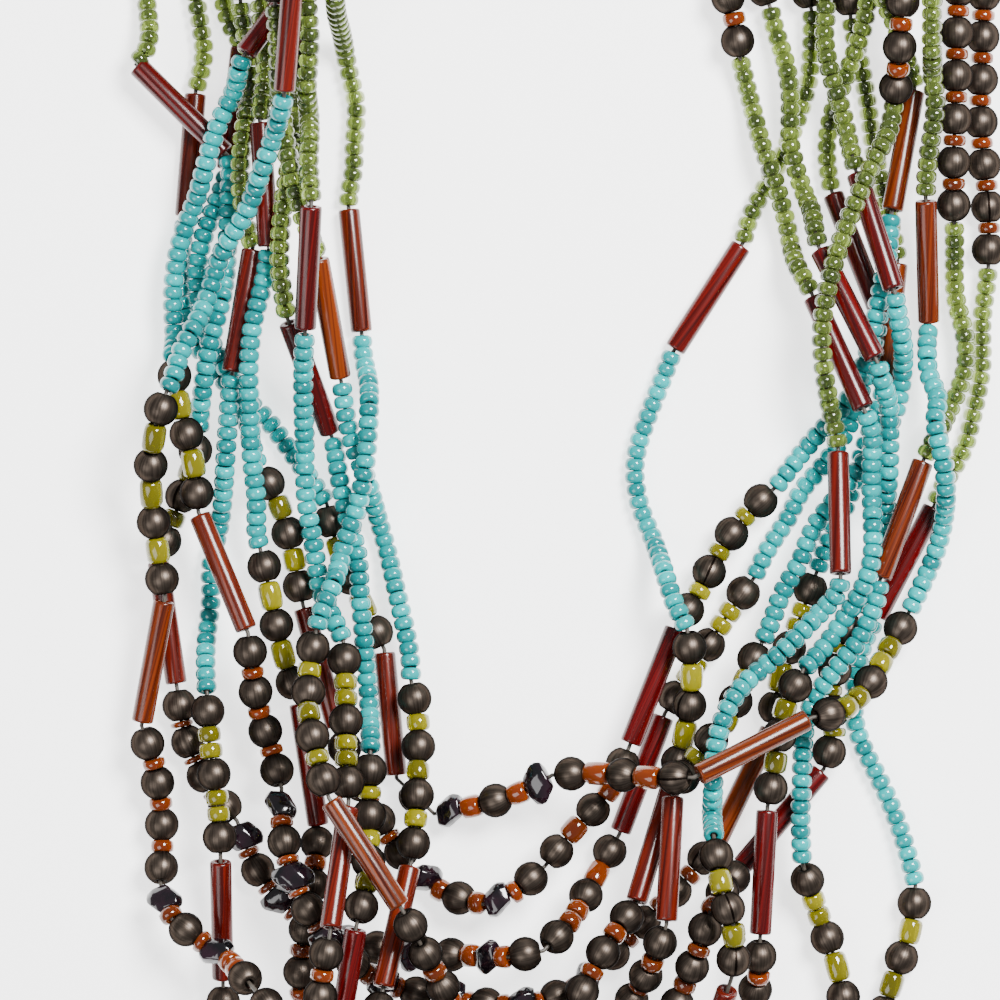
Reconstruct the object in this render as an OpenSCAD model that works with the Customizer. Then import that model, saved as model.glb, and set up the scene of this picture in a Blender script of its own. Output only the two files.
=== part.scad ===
// A necklace of eleven bead strings on one clasp, laid out flat.
// X runs across the necklace, +Y runs from the front of the loop to the clasp, and the surface is at Z = 0.

/* [Plan] */
// Length of one unit of the plan on which the strings are laid out
plan_unit = 0.17; // [0.165:0.001:0.18]

/* [Seed beads] */
// Outer diameter of a green or turquoise seed bead
seed_d = 3.4; // [3.1:0.1:3.6]
// Length of seed beads between the upper bugle and the round beads behind it
green_len = 42; // [30:1:50]
// Length of round beads between those seed beads and the seed beads that run on to the clasp
back_len = 50; // [30:1:60]

/* [Bugle beads] */
// Length of a bugle bead
bugle_len = 21; // [18:0.5:22]
// Outer diameter of a bugle bead
bugle_d = 3.7; // [3.2:0.1:4]

/* [Round beads] */
// Outer diameter of a round bead
round_d = 5.9; // [5:0.1:6.4]
// Length of a round bead along its thread
round_len = 5.2; // [4.4:0.1:5.6]
// Length of the yellow bead between two round beads
yellow_len = 3.2; // [2.4:0.1:4]
// Length of the orange bead between two round beads
orange_len = 2.1; // [1.6:0.1:3]

/* [Chips] */
// Length of a stone chip across its thread
chip_w = 8; // [6.4:0.2:9]
// Thickness of a stone chip along its thread
chip_t = 4.4; // [4:0.1:6]
// Height of a stone chip where the necklace lies flat
chip_h = 5; // [3.6:0.1:5.4]

/* [Thread] */
// Diameter of the thread
thread_d = 0.7; // [0.5:0.1:0.9]
// Diameter of the hole through a bead
bore_d = 1.6; // [1.4:0.1:1.8]

/* [Clasp] */
// Length of the clasp bar between the two bundles of strings
clasp_len = 18; // [12:1:24]
// Height of the clasp bar
clasp_h = 4.6; // [4:0.2:6]
// Radius of the corners of the clasp bar
clasp_r = 2; // [1:0.2:3]

/* [Hidden] */

// Kinds of stretch along a string
GR = 1; // green seed beads
BU = 2; // one bugle bead
TU = 3; // turquoise seed beads
BY = 4; // round beads with yellow beads between them
BO = 5; // round beads with orange beads between them
CH = 6; // stone chips with round beads between them

// Routes on the plan, left top to right top: across, down, and the kind of stretch that starts there.
ROUTES = [
  [[195,0], [203,55], [194,92,BU], [184,215,TU], [178,262], [182,310], [200,352], [230,388],
   [262,414], [290,452], [312,482], [326,503,BY], [337,552], [355,592], [376,628], [384,652,BU],
   [396,777,BO], [401,794], [413,808], [434,815,CH], [470,808], [500,798], [530,790], [552,774,BO],
   [592,770], [628,770], [658,777], [679,777], [693,772,BU], [806,716,BY], [826,722], [857,704],
   [876,668], [902,632], [910,612,TU], [928,575], [942,535], [945,495], [940,455], [932,420],
   [938,398], [928,375], [928,335], [930,325,BU], [925,198,GR], [928,150], [934,110], [929,60],
   [928,0]],
  [[222,0], [228,22], [240,45,BU], [226,168,TU], [214,205], [200,245], [196,285], [205,330],
   [228,372], [245,410], [250,440], [258,467,BY], [280,504], [292,548], [300,597], [303,608,BU],
   [336,728,BO], [345,748], [362,790], [392,842], [412,868,CH], [440,893], [472,905], [502,901],
   [526,885], [545,866,BO], [576,826], [612,792], [626,752], [631,742,BU], [675,630,BY], [692,608],
   [709,572], [732,530], [762,500], [775,488,TU], [800,456], [820,432], [848,400], [868,350],
   [878,300], [888,250], [893,208,BU], [915,92,GR], [905,55], [892,20], [880,0]],
  [[145,0], [149,35], [146,52], [138,66,BU], [224,152,TU], [229,195], [227,250], [222,300],
   [211,340], [204,380], [199,420], [199,432,BY], [197,450], [184,487], [170,525], [161,545],
   [156,556,BU], [176,690,BO], [176,705], [186,742], [205,785], [236,822,CH], [250,862], [274,898],
   [310,926], [350,945], [400,952], [450,955], [500,953], [522,955], [543,947,BO], [572,920],
   [594,880], [616,845], [621,832,BU], [664,718,BY], [672,700], [685,680], [703,660], [720,628],
   [744,592], [755,578,TU], [768,550], [790,518], [803,490], [825,465], [848,430], [862,390],
   [872,350], [878,308,BU], [834,192,GR], [828,160], [830,125], [840,92], [852,60], [864,25],
   [868,0]],
  [[335,-80], [320,-45,BU], [246,58,TU], [236,92], [221,120], [208,160], [198,195], [183,230],
   [175,262], [172,300], [174,340], [173,358,BY], [172,372], [182,415], [195,458], [199,500],
   [200,514,BU], [248,630,BO], [253,652], [254,688], [262,722], [276,762], [282,788,CH], [282,824],
   [290,862], [305,900], [345,955], [400,988], [450,1000], [500,1003], [560,996], [600,968,BO],
   [640,928], [675,893], [704,862], [718,842,BU], [772,730,BY], [776,715], [778,688], [785,655],
   [800,622], [808,596], [818,572,TU], [828,545], [850,500], [865,450], [880,410], [886,385,BU],
   [899,262,GR], [892,225], [884,185], [875,145], [870,105], [862,60], [852,20], [852,0]],
  [[337,0], [342,35], [348,70], [356,105], [353,140], [353,170], [347,196], [348,207,BU],
   [361,332,TU], [362,355], [369,385], [369,425], [366,465], [358,508], [345,543], [336,580],
   [322,612], [318,628,BY], [314,650], [308,690], [315,735], [328,780], [333,795,BU], [402,900,BO],
   [418,930], [440,975], [465,1022], [490,1048], [512,1054], [540,1046], [562,1022], [582,985],
   [605,940], [624,916], [635,902,BU], [672,783,BY], [677,770], [686,730], [693,687], [690,642],
   [686,628,TU], [672,600], [664,572], [654,540], [640,505], [635,470], [640,440], [650,412],
   [662,382], [672,356], [676,348,BU], [742,245,GR], [748,222], [758,200], [776,170], [792,135],
   [803,105], [811,75], [813,35], [812,0]],
  [[260,0], [266,45], [265,85], [262,112], [261,122,BU], [270,250,TU], [266,280], [255,320],
   [250,365], [251,410], [252,457], [257,500], [256,535], [260,548,BY], [271,595], [278,643],
   [292,685], [299,702,BU], [318,828,BO], [316,845], [314,893], [304,935], [298,972], [305,1010],
   [335,1050], [380,1076], [430,1088], [500,1090], [560,1080], [600,1050], [628,1005], [648,968],
   [660,935], [665,920,BU], [672,792,BY], [682,768], [705,745], [736,708], [746,668], [762,642,TU],
   [773,618], [782,592], [800,562], [812,530], [835,500], [862,465], [888,430], [901,395],
   [903,355], [897,322], [893,303], [891,290,BU], [856,175,GR], [848,140], [840,105], [830,75],
   [824,40], [826,0]],
  [[310,0], [313,45], [309,95], [312,140], [311,175], [314,196], [314,208,BU], [307,333,TU],
   [304,380], [305,440], [306,500], [314,545], [320,590], [336,622], [344,640,BY], [347,690],
   [346,735], [352,785], [350,800,BU], [333,925,BO], [330,948], [320,995], [328,1040], [360,1095],
   [410,1134], [460,1145], [510,1147], [570,1137], [620,1106], [658,1045], [680,990], [696,948],
   [708,905], [735,875], [742,866,BU], [822,772,BY], [835,755], [835,725], [830,690], [840,650],
   [856,612,TU], [872,570], [884,530], [888,480], [889,430], [888,405], [880,382], [876,370],
   [874,362,BU], [818,248,GR], [812,212], [800,180], [790,140], [791,100], [786,60], [775,25],
   [770,0]],
  [[295,0], [298,60], [297,115], [290,170], [283,225], [281,268], [286,305], [288,318,BU],
   [332,438,TU], [338,470], [346,512], [358,555], [360,595], [364,640], [368,690], [371,735],
   [371,750,BY], [370,803], [370,852], [366,905], [358,922,BU], [338,1046,BO], [345,1086],
   [370,1138], [420,1184], [470,1202], [530,1204], [590,1192], [640,1161], [678,1120],
   [692,1094,BU], [728,974,BY], [734,950], [732,925], [718,885], [712,848], [711,832,TU],
   [711,790], [713,745], [722,712], [742,682], [775,655], [805,625], [828,602], [838,588],
   [838,577,BU], [837,449,GR], [830,415], [822,375], [819,335,GR], [826,285], [845,225], [868,170],
   [890,125], [896,60], [900,0]],
  [[278,0], [281,50], [282,105], [290,160], [303,215], [315,245], [319,258,BU], [341,380,TU],
   [346,415], [355,450], [368,482], [378,520], [389,560], [397,595], [406,632], [411,664],
   [411,680,BY], [421,738], [416,785], [417,845], [411,862,BU], [384,985,BO], [378,1010],
   [375,1051], [385,1122], [415,1187], [460,1240], [500,1257], [560,1261], [620,1242], [670,1193],
   [720,1110], [745,1030], [756,985], [762,950], [759,933,BU], [766,808,BY], [768,790], [775,755],
   [780,715], [790,684], [802,668,TU], [822,648], [845,615], [860,590], [870,560], [871,520],
   [870,470], [871,435], [866,418], [862,410,BU], [812,296,GR], [795,262], [788,225], [775,180],
   [762,145], [754,110], [744,70], [735,30], [733,0]],
  [[240,0], [248,50], [250,95], [243,140], [241,185], [249,235], [253,250,BU], [233,372,TU],
   [229,415], [225,470], [219,525], [209,565], [210,600], [205,640], [206,682], [207,692,BY],
   [210,748], [218,795], [222,842], [221,858,BU], [222,983,BO], [220,1003], [228,1051], [255,1123],
   [300,1190], [360,1256], [430,1302], [480,1314], [540,1316], [610,1302], [670,1268], [730,1226],
   [785,1190], [815,1140,BU], [846,1018,BY], [850,990], [832,955], [818,915], [808,876],
   [802,862,TU], [800,820], [801,770], [803,735], [812,700], [835,668], [858,640], [870,615],
   [878,590], [880,577,BU], [922,462,GR], [940,430], [955,400], [966,370], [966,335], [957,300],
   [956,250], [953,170], [956,100], [956,40], [958,0]],
  [[300,-60], [298,-25,BU], [288,100,TU], [276,142], [262,180], [247,217], [222,255], [212,287],
   [200,320], [183,352], [176,380], [170,392,BY], [164,410], [151,453], [151,495], [157,540],
   [163,580], [165,600,BU], [142,723,BO], [148,742], [158,782], [161,828], [161,866], [160,884,CH],
   [167,912], [190,933], [220,950], [262,985,BO], [300,1040], [328,1145], [370,1258], [425,1343],
   [500,1379], [560,1378], [640,1370], [720,1337], [790,1279], [832,1207], [845,1155,BU],
   [880,1035,BY], [886,1010], [892,985], [910,948], [920,902], [917,886,TU], [905,840], [888,795],
   [868,755], [856,722], [857,680], [866,640], [877,622], [881,613,BU], [933,512,GR], [948,480],
   [966,450], [975,415], [984,370], [984,320], [990,270], [990,200], [984,150], [982,100],
   [985,40], [985,0]]
];

// Half strings in the order they were laid, lowest first: string number, then 0 for left or 1 for right
STACK = [[1,0], [2,0], [3,0], [10,0], [6,0], [4,0], [8,0], [9,0], [7,0], [5,0], [11,0],
         [4,1], [3,1], [2,1], [5,1], [6,1], [11,1], [7,1], [10,1], [9,1], [8,1], [1,1]];
// Strings in their order at the clasp, outermost first, for the left and the right face of the bar
FACE_LEFT = [3, 1, 2, 10, 6, 9, 8, 11, 7, 4, 5];
FACE_RIGHT = [11, 10, 1, 8, 2, 3, 4, 6, 5, 7, 9];

middle_x = 563.78;         // plan point that becomes the origin
middle_y = 462.93;
split_x = 500;             // plan line where a string's left half meets its right half
clasp_x = 530;             // plan place of the clasp bar
clasp_y = -340;
clasp_edge = 1;            // from the outermost string's side to the end of the bar
seed_gap = 0.35;           // clearance between the strings along the face of the bar
face_gap = 0.4;            // clearance from the bar to the first seed bead
face_run = 4;              // length over which a string meets the bar square on
bead_gap = 0.15;           // clearance between neighbours on a thread
end_gap = 0.6;             // clearance at both ends of a stretch of beads
bend_gap = 0.5;            // least clearance between large beads where a string bends
chip_gap = 1;              // least clearance beside a chip, whose ends are broad
rest_gap = 0.45;           // clearance between a string and the one that it lies on
hump = 11;                 // distance over which a string climbs onto another
step = 3.4;                // spacing of the points worked out along a string
hump_points = 9;           // points of a string on each side that a hump may reach
flat_seed = 1.7;           // distance over which it lies level on top of the other, as seed beads
flat_bead = 4.4;           // the same as longer beads
slack = 0.01;              // rounding allowed where running lengths are compared
tube_error = 0.35;         // how far a tube's straight pieces may leave its curve
ring_gap = 0.5;            // least length of a tube between a joint and its next ring
sides = 6;                 // sides of a tube
fine = 48;                 // sides of a round bead, a bore and a corner
cell = 10;                 // width of a cell of the grid in which neighbours are looked up
cell_row = 1000;           // numbers kept for one row of that grid
arc_points = 6;            // points of the quarter turn from a bundle to the clasp
fan = 1.6;                 // extra spacing of the strings midway along that turn
aim_reach = 0.8;           // half the length of string from which its direction is taken
thick_share = 0.88;        // radius of a thick piece of string as a share of a round bead's
back_parts = 3;            // stretches at each end of a string that lead off from the clasp
FREE_ROUNDS = 4;           // strings up to this one keep the round beads of their front as solids
// Shares of a chip's thickness, of its reach and of its sideways lean
CHIP_ROWS = [[-0.5, 0.66, -0.14], [-0.18, 0.88, -0.1], [0.16, 0.86, 0.1], [0.5, 0.64, 0.16]];
CHIP_REACH = [0.8, 1, 0.76, 0.84, 0.96, 0.72]; // reach of the corners of a ring
STRINGS = len(ROUTES);
face_pitch = seed_d + seed_gap;
face_x = clasp_len / 2 + face_gap;
clasp_w = (STRINGS - 1) * face_pitch + seed_d + 2 * clasp_edge;

function plan(p) = [p[0] - middle_x, middle_y - p[1]] * plan_unit;
function kind_of(row) = len(row) > 2 ? row[2] : 0;
function rank(order, k) = [for (i = [0:STRINGS - 1]) if (order[i] == k) i][0];
function face_place(order, k, side) =
  plan([clasp_x, clasp_y]) + [side * face_x, ((STRINGS - 1) / 2 - rank(order, k)) * face_pitch];

// A quarter of an ellipse from the top of a bundle to the string's place on the clasp, fanned out midway
function back_turn(start, goal, place) =
  concat(back_arc(start, goal + [sign(start[0] - goal[0]) * face_run, 0], place), [goal]);
function back_arc(start, goal, place) =
  [for (i = [1:arc_points])
    let(a = 90 * i / arc_points, open = fan * ((STRINGS - 1) / 2 - place) * sin(2 * a))
    [goal[0] - (goal[0] - start[0]) * cos(a) + sign(start[0] - goal[0]) * open * cos(a),
     start[1] + (goal[1] - start[1]) * sin(a) + open * sin(a)]];
function reversed(v) = [for (i = [len(v) - 1:-1:0]) v[i]];

// The whole route of a string as [x, y, kind], with each bugle's two ends a bugle's length apart
function route(k) =
  let(rows = ROUTES[k - 1], last = len(rows) - 1, seat = bugle_len / 2 + end_gap,
      pts = [for (i = [0:last]) let(p = plan(rows[i]))
        i < last && kind_of(rows[i]) == BU ? bugle_end(p, plan(rows[i + 1]), -seat)
        : i > 0 && kind_of(rows[i - 1]) == BU ? bugle_end(plan(rows[i - 1]), p, seat) : p],
      left = back_turn(pts[0], face_place(FACE_LEFT, k, -1), rank(FACE_LEFT, k)),
      right = back_turn(pts[last], face_place(FACE_RIGHT, k, 1), rank(FACE_RIGHT, k)))
  concat([for (p = reversed(left)) [p[0], p[1], 0]],
         [for (i = [0:last]) [pts[i][0], pts[i][1], kind_of(rows[i])]],
         [for (p = right) [p[0], p[1], 0]]);
function bugle_end(a, b, reach) = (a + b) / 2 + (b - a) / norm(b - a) * reach;

// Direction of the route at its point i: straight along a bugle, and smooth elsewhere
function heading(r, i) =
  let(n = len(r) - 1,
      a = r[i][2] == BU ? i : i > 0 && r[i - 1][2] == BU ? i - 1 : max(i - 1, 0),
      b = r[i][2] == BU ? i + 1 : i > 0 && r[i - 1][2] == BU ? i : min(i + 1, n),
      d = [r[b][0] - r[a][0], r[b][1] - r[a][1]])
  d / norm(d);

// Points along the route about a step apart, as [x, y, kind that starts here or 0]
function points(r) =
  concat([for (i = [0:len(r) - 2])
    let(a = [r[i][0], r[i][1]], b = [r[i + 1][0], r[i + 1][1]], size = norm(b - a),
        u = heading(r, i) * size, v = heading(r, i + 1) * size, n = max(1, round(size / step)))
    for (j = [0:n - 1]) let(t = j / n, q = t * t, c = q * t,
      p = a * (2 * c - 3 * q + 1) + u * (c - 2 * q + t) + b * (3 * q - 2 * c) + v * (c - q))
    [p[0], p[1], j == 0 ? r[i][2] : 0]],
    [[r[len(r) - 1][0], r[len(r) - 1][1], 0]]);

// Running length at each point
function lengths(p, i = 1, sum = [0]) =
  i == len(p) ? sum
  : lengths(p, i + 1, concat(sum, [sum[i - 1] + norm([p[i][0] - p[i - 1][0], p[i][1] - p[i - 1][1]])]));

// Stretches of a string as [kind, start, end]: seed beads lead off from the clasp, then round beads
function stretches(p, s) =
  let(marks = [for (i = [0:len(p) - 1]) if (p[i][2] != 0) [p[i][2], s[i]]],
      n = len(marks) - 1, total = s[len(s) - 1], first = marks[0][1], last = marks[n][1],
      ends = concat([[GR, 0], [BO, max(round_d, first - green_len - back_len)],
                     [GR, max(2 * round_d, first - green_len)]],
                    marks, [[BO, min(total - 2 * round_d, last + green_len)],
                            [GR, min(total - round_d, last + green_len + back_len)], [0, total]]))
  [for (i = [0:len(ends) - 2]) [ends[i][0], ends[i][1], ends[i + 1][1]]];
function string_radius(kind) =
  (kind == GR || kind == TU ? seed_d : kind == BU ? bugle_d : kind == CH ? chip_w : round_d) / 2;
function rise_radius(r) = min(r, round_d / 2);
function kind_at(st, s) = [for (x = st) if (s >= x[1] - slack && s <= x[2] + slack) x[0]];
function widest(kinds) = max([for (k = kinds) string_radius(k)]);

PLAIN = [for (k = [1:STRINGS]) points(route(k))];
RUN = [for (k = [1:STRINGS]) lengths(PLAIN[k - 1])];
PARTS = [for (k = [1:STRINGS]) stretches(PLAIN[k - 1], RUN[k - 1])];

// A half string's points as [x, y, radius, running length, kind]
function half(k, side) =
  let(p = PLAIN[k - 1], s = RUN[k - 1], st = PARTS[k - 1], split = plan([split_x, 0])[0],
      cut = [for (i = [1:len(p) - 1]) if (p[i - 1][0] <= split && p[i][0] > split && p[i][1] < 0) i][0],
      span = side == 0 ? [0:cut - 1] : [cut:len(p) - 1])
  [for (i = span) let(kinds = kind_at(st, s[i]))
    [p[i][0], p[i][1], widest(kinds), s[i], len([for (q = kinds) if (q == BU) q]) > 0 ? BU : 0]];

// Direction on the plan at each point of a half string
function slope_of(h, i) =
  let(a = h[max(0, i - 1)], b = h[min(len(h) - 1, i + 1)], d = [b[0] - a[0], b[1] - a[1]]) d / norm(d);
function cell_id(x, y) = floor(x / cell) * cell_row + floor(y / cell);
function around(x, y) = [for (i = [-1:1], j = [-1:1]) cell_id(x + i * cell, y + j * cell)];

// Height at which a point clears one laid segment [x, y, z, dx, dy, dz, radius, ux, uy]
function clears(p, u, g) =
  let(t = min(1, max(0, ((p[0] - g[0]) * g[3] + (p[1] - g[1]) * g[4]) / (g[3] * g[3] + g[4] * g[4]))),
      reach = p[2] + g[6] + rest_gap, rise = rise_radius(p[2]) + rise_radius(g[6]) + rest_gap,
      across = abs(u[0] * g[8] - u[1] * g[7]),
      d = max(0, norm([p[0] - g[0] - t * g[3], p[1] - g[1] - t * g[4]]) - step / 2 * across))
  d < reach ? g[2] + t * g[5] + rise * sqrt(1 - d * d / reach / reach) : 0;

// Heights that a half string needs over what is laid, eased over the hump on both sides
function needs(h, keys, laid) =
  [for (i = [0:len(h) - 1])
    let(p = h[i], u = slope_of(h, i), found = search(around(p[0], p[1]), keys, 0))
    max(concat([rise_radius(p[2])], [for (f = found, j = f) clears(p, u, laid[j])]))];
function eased(h, need, i, only) =
  max(concat([0], [for (j = [max(0, i - hump_points):min(len(h) - 1, i + hump_points)])
    let(d = max(0, abs(h[j][3] - h[i][3]) - (h[i][2] < round_d / 2 ? flat_seed : flat_bead)))
    if (d < hump && (!only || h[j][4] == BU))
      seed_d / 2 + (need[j] - seed_d / 2) * (0.5 + 0.5 * cos(180 * d / hump))]));

// A bugle lies on one straight line over everything that it crosses
function first_bu(h, i) = i > 0 && h[i - 1][4] == BU ? first_bu(h, i - 1) : i;
function last_bu(h, i) = i < len(h) - 1 && h[i + 1][4] == BU ? last_bu(h, i + 1) : i;
function bugle_z(h, e, i) =
  let(a = first_bu(h, i), b = last_bu(h, i), size = max(slack, h[b][3] - h[a][3]),
      za = max([for (j = [a:b]) if (h[j][3] - h[a][3] < size / 3) e[j]]),
      zb = max([for (j = [a:b]) if (h[b][3] - h[j][3] < size / 3) e[j]]),
      lift = max([for (j = [a:b]) e[j] - za - (zb - za) * (h[j][3] - h[a][3]) / size]))
  za + (zb - za) * (h[i][3] - h[a][3]) / size + max(0, lift);
function heights(h, keys, laid, meet) =
  let(own = needs(h, keys, laid), need = concat([max(own[0], meet)], [for (i = [1:len(own) - 1]) own[i]]),
      n = len(h) - 1,
      e = [for (i = [0:n]) max(rise_radius(h[i][2]), eased(h, need, i, false))],
      z = [for (i = [0:n]) h[i][4] == BU ? bugle_z(h, e, i) : e[i]])
  [for (i = [0:n]) h[i][4] == BU ? z[i] : max(z[i], eased(h, z, i, true))];

// Lays the half strings in their order and keeps [heights of each, grid keys, segments]
function lay(i, done) =
  i == len(STACK) ? done[0]
  : let(h = half(STACK[i][0], STACK[i][1]), n = len(h) - 2,
        other = [for (j = [0:1:i - 1]) if (STACK[i] == [STACK[j][0], 1] && STACK[j][1] == 0) done[0][j]],
        z = heights(h, done[1], done[2], len(other) > 0 ? other[0][len(other[0]) - 1][3] : 0))
    lay(i + 1, [concat(done[0], [[for (j = [0:n + 1]) [h[j][3], h[j][0], h[j][1], z[j]]]]),
      concat(done[1], [for (j = [0:n]) cell_id(h[j][0], h[j][1])]),
      concat(done[2], [for (j = [0:n]) let(u = slope_of(h, j))
        [h[j][0], h[j][1], z[j], h[j + 1][0] - h[j][0], h[j + 1][1] - h[j][1], z[j + 1] - z[j],
         max(h[j][2], h[j + 1][2]), u[0], u[1]]])]);
LAID = lay(0, [[], [], []]);
function laid_half(k, side) = LAID[[for (i = [0:len(STACK) - 1]) if (STACK[i] == [k, side]) i][0]];

// The last points of a left half, raised to meet the right half
function tied(rows, z) =
  let(last = rows[len(rows) - 1][0], low = seed_d / 2)
  [for (q = rows) last - q[0] > hump ? q
    : [q[0], q[1], q[2], max(q[3], low + (z - low) * (0.5 + 0.5 * cos(180 * (last - q[0]) / hump)))]];
WAY = [for (k = [1:STRINGS]) let(right = laid_half(k, 1)) concat(tied(laid_half(k, 0), right[0][3]), right)];

// Place on string k at running length s, and direction there
TABLES = [for (w = WAY) [for (c = [1:3]) [for (q = w) [q[0], q[c]]]]];
function spot(k, s) = [for (t = TABLES[k - 1]) lookup(s, t)];
function aim(k, s) = let(d = spot(k, s + aim_reach) - spot(k, s - aim_reach)) d / norm(d);
function between(k, a, b, s) = let(p = spot(k, a), q = spot(k, b)) p + (q - p) * (s - a) / (b - a);

// Beads of a stretch as [kind, from, to, centre]: each one lies on the straight line between from and to
function count(size, space) =
  let(free = size - 2 * end_gap)
  max(1, min(round((free + space) / (round_len + space)),
             floor((free + bend_gap) / (round_len + bend_gap))));
function spaced(kind, a, b, n) =
  let(w = n > 1 ? (b - a - 2 * end_gap - n * round_len) / (n - 1) : 0,
      first = n > 1 ? a + end_gap + round_len / 2 : (a + b) / 2)
  [for (i = [0:n - 1]) let(c = first + i * (round_len + w))
    [kind, i == 0 ? a : c - (round_len + w) / 2, i == n - 1 ? b : c + (round_len + w) / 2, c]];
function chipped(a, b) =
  let(pair = chip_t + round_len + 2 * chip_gap, size = b - a - 2 * end_gap + chip_gap,
      n = 2 * floor(size / pair) + (size % pair > chip_t + chip_gap ? 1 : 0),
      solid = floor(n / 2) * (chip_t + round_len) + (n % 2) * chip_t,
      w = n > 1 ? (b - a - 2 * end_gap - solid) / (n - 1) : 0)
  [for (i = [0:n - 1])
    let(from = a + end_gap + floor(i / 2) * (chip_t + round_len) + (i % 2) * chip_t + i * w,
        long = i % 2 == 0 ? chip_t : round_len)
    [i % 2 == 0 ? CH : BY, i == 0 ? a : from - w / 2, i == n - 1 ? b : from + long + w / 2,
     from + long / 2]];
function beads(st) =
  let(a = st[1], b = st[2])
  st[0] == BU ? [[BU, a, b, (a + b) / 2]]
  : st[0] == BY ? spaced(BY, a, b, count(b - a, yellow_len + 2 * bead_gap))
  : st[0] == BO ? spaced(BO, a, b, count(b - a, orange_len + 2 * bead_gap))
  : st[0] == CH ? chipped(a, b) : [];

// A stretch of round beads far from the middle is one thick piece of its string, as seed beads are
function thick(k, j) =
  PARTS[k - 1][j][0] == BO && (k > FREE_ROUNDS || j < back_parts || j >= len(PARTS[k - 1]) - back_parts);
function tube_radius(k, j) =
  let(kind = PARTS[k - 1][j][0])
  kind == GR || kind == TU ? seed_d / 2 : thick(k, j) ? thick_share * round_d / 2 : thread_d / 2;

// Points kept of a curve so that straight pieces stay near it
function off_line(p, a, b) =
  let(d = b - a, t = min(1, max(0, (p - a) * d / (d * d)))) norm(p - a - t * d);
function kept(k, s, i, j) =
  j - i < 2 ? []
  : let(a = spot(k, s[i]), b = spot(k, s[j]), off = [for (m = [i + 1:j - 1]) off_line(spot(k, s[m]), a, b)],
        far = max(off), m = i + 1 + search(far, off)[0])
    far < tube_error ? [] : concat(kept(k, s, i, m), [s[m]], kept(k, s, m, j));

// Direction of a string where stretch j starts: square to the clasp, or that of the bead next to the joint
function along(k, b) = let(d = spot(k, b[2]) - spot(k, b[1])) d / norm(d);
function joint(k, j) =
  let(n = len(PARTS[k - 1]), here = j < n && !thick(k, j) ? beads(PARTS[k - 1][j]) : [],
      back = j > 0 && !thick(k, j - 1) ? beads(PARTS[k - 1][j - 1]) : [])
  j == 0 || j == n ? [-1, 0, 0]
  : len(here) > 0 ? along(k, here[0]) : len(back) > 0 ? along(k, back[len(back) - 1])
  : aim(k, PARTS[k - 1][j][1]);

// Rings of string k as [running length, radius, direction]
function rings(k) =
  [for (j = [0:len(PARTS[k - 1]) - 1])
    let(st = PARTS[k - 1][j], r = tube_radius(k, j), loose = beads(st),
        inner = [for (q = WAY[k - 1]) if (q[0] > st[1] + ring_gap && q[0] < st[2] - ring_gap) q[0]],
        s = concat([st[1]], inner, [st[2]]),
        mid = r > thread_d / 2 ? kept(k, s, 0, len(s) - 1) : [for (i = [1:len(loose) - 1]) loose[i][1]])
    each concat(j == 0 || r != tube_radius(k, j - 1) ? [[st[1], r, joint(k, j)]] : [],
                [for (q = mid) [q, r, aim(k, q)]], [[st[2], r, joint(k, j + 1)]])];
function ring_points(k, s, r, d) =
  let(side = [-d[1], d[0], 0] / norm([d[0], d[1]]), up = cross(d, side), c = spot(k, s))
  [for (i = [0:sides - 1]) let(a = 360 * (i + 0.5) / sides) c + r * (cos(a) * side + sin(a) * up)];

module tube(k) {
  rows = rings(k);
  n = len(rows) - 1;
  polyhedron(
    points = [for (q = rows) each ring_points(k, q[0], q[1], q[2])],
    faces = concat(
      [[for (i = [0:sides - 1]) i], [for (i = [sides - 1:-1:0]) n * sides + i]],
      [for (j = [0:n - 1], i = [0:sides - 1]) let(a = j * sides, m = (i + 1) % sides)
        each [[a + i, a + sides + m, a + m], [a + i, a + sides + i, a + sides + m]]]));
}

module bore(size) {
  translate([0, 0, -size]) cylinder(d = bore_d, h = 2 * size, $fn = fine);
}

module bugle() {
  difference() {
    cylinder(d = bugle_d, h = bugle_len, center = true, $fn = fine);
    bore(bugle_len);
  }
}

module round_bead() {
  difference() {
    intersection() {
      sphere(d = round_d, $fn = fine);
      cube([2 * round_d, 2 * round_d, round_len], center = true);
    }
    bore(round_len);
  }
}

// A rough stone: rings of corners of uneven reach, drilled along its thread
module chip(i) {
  n = len(CHIP_REACH);
  points = [for (row = CHIP_ROWS, j = [0:n - 1])
    let(a = 360 * (j + 0.5) / n, reach = row[1] * CHIP_REACH[(j + i) % n])
    [chip_h / 2 * reach * cos(a), chip_w / 2 * (reach * sin(a) + row[2]), chip_t * row[0]]];
  last = (len(CHIP_ROWS) - 1) * n;
  difference() {
    polyhedron(points = points, faces = concat(
      [[for (j = [0:n - 1]) j], [for (j = [n - 1:-1:0]) last + j]],
      [for (q = [0:len(CHIP_ROWS) - 2], j = [0:n - 1]) let(a = q * n, m = (j + 1) % n)
        each [[a + j, a + n + m, a + m], [a + j, a + n + j, a + n + m]]]));
    bore(chip_t);
  }
}

module bead(k, b, i) {
  d = along(k, b);
  translate(between(k, b[1], b[2], b[3])) rotate([0, acos(d[2]), atan2(d[1], d[0])]) {
    if (b[0] == BU) bugle();
    else if (b[0] == CH) chip(i + k);
    else round_bead();
  }
}

module string(k) {
  color("seagreen") tube(k);
}

module beads_of(k) {
  color("indianred")
    for (j = [0:len(PARTS[k - 1]) - 1]) if (!thick(k, j)) {
      row = beads(PARTS[k - 1][j]);
      for (i = [0:len(row) - 1]) bead(k, row[i], i);
    }
}

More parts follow.
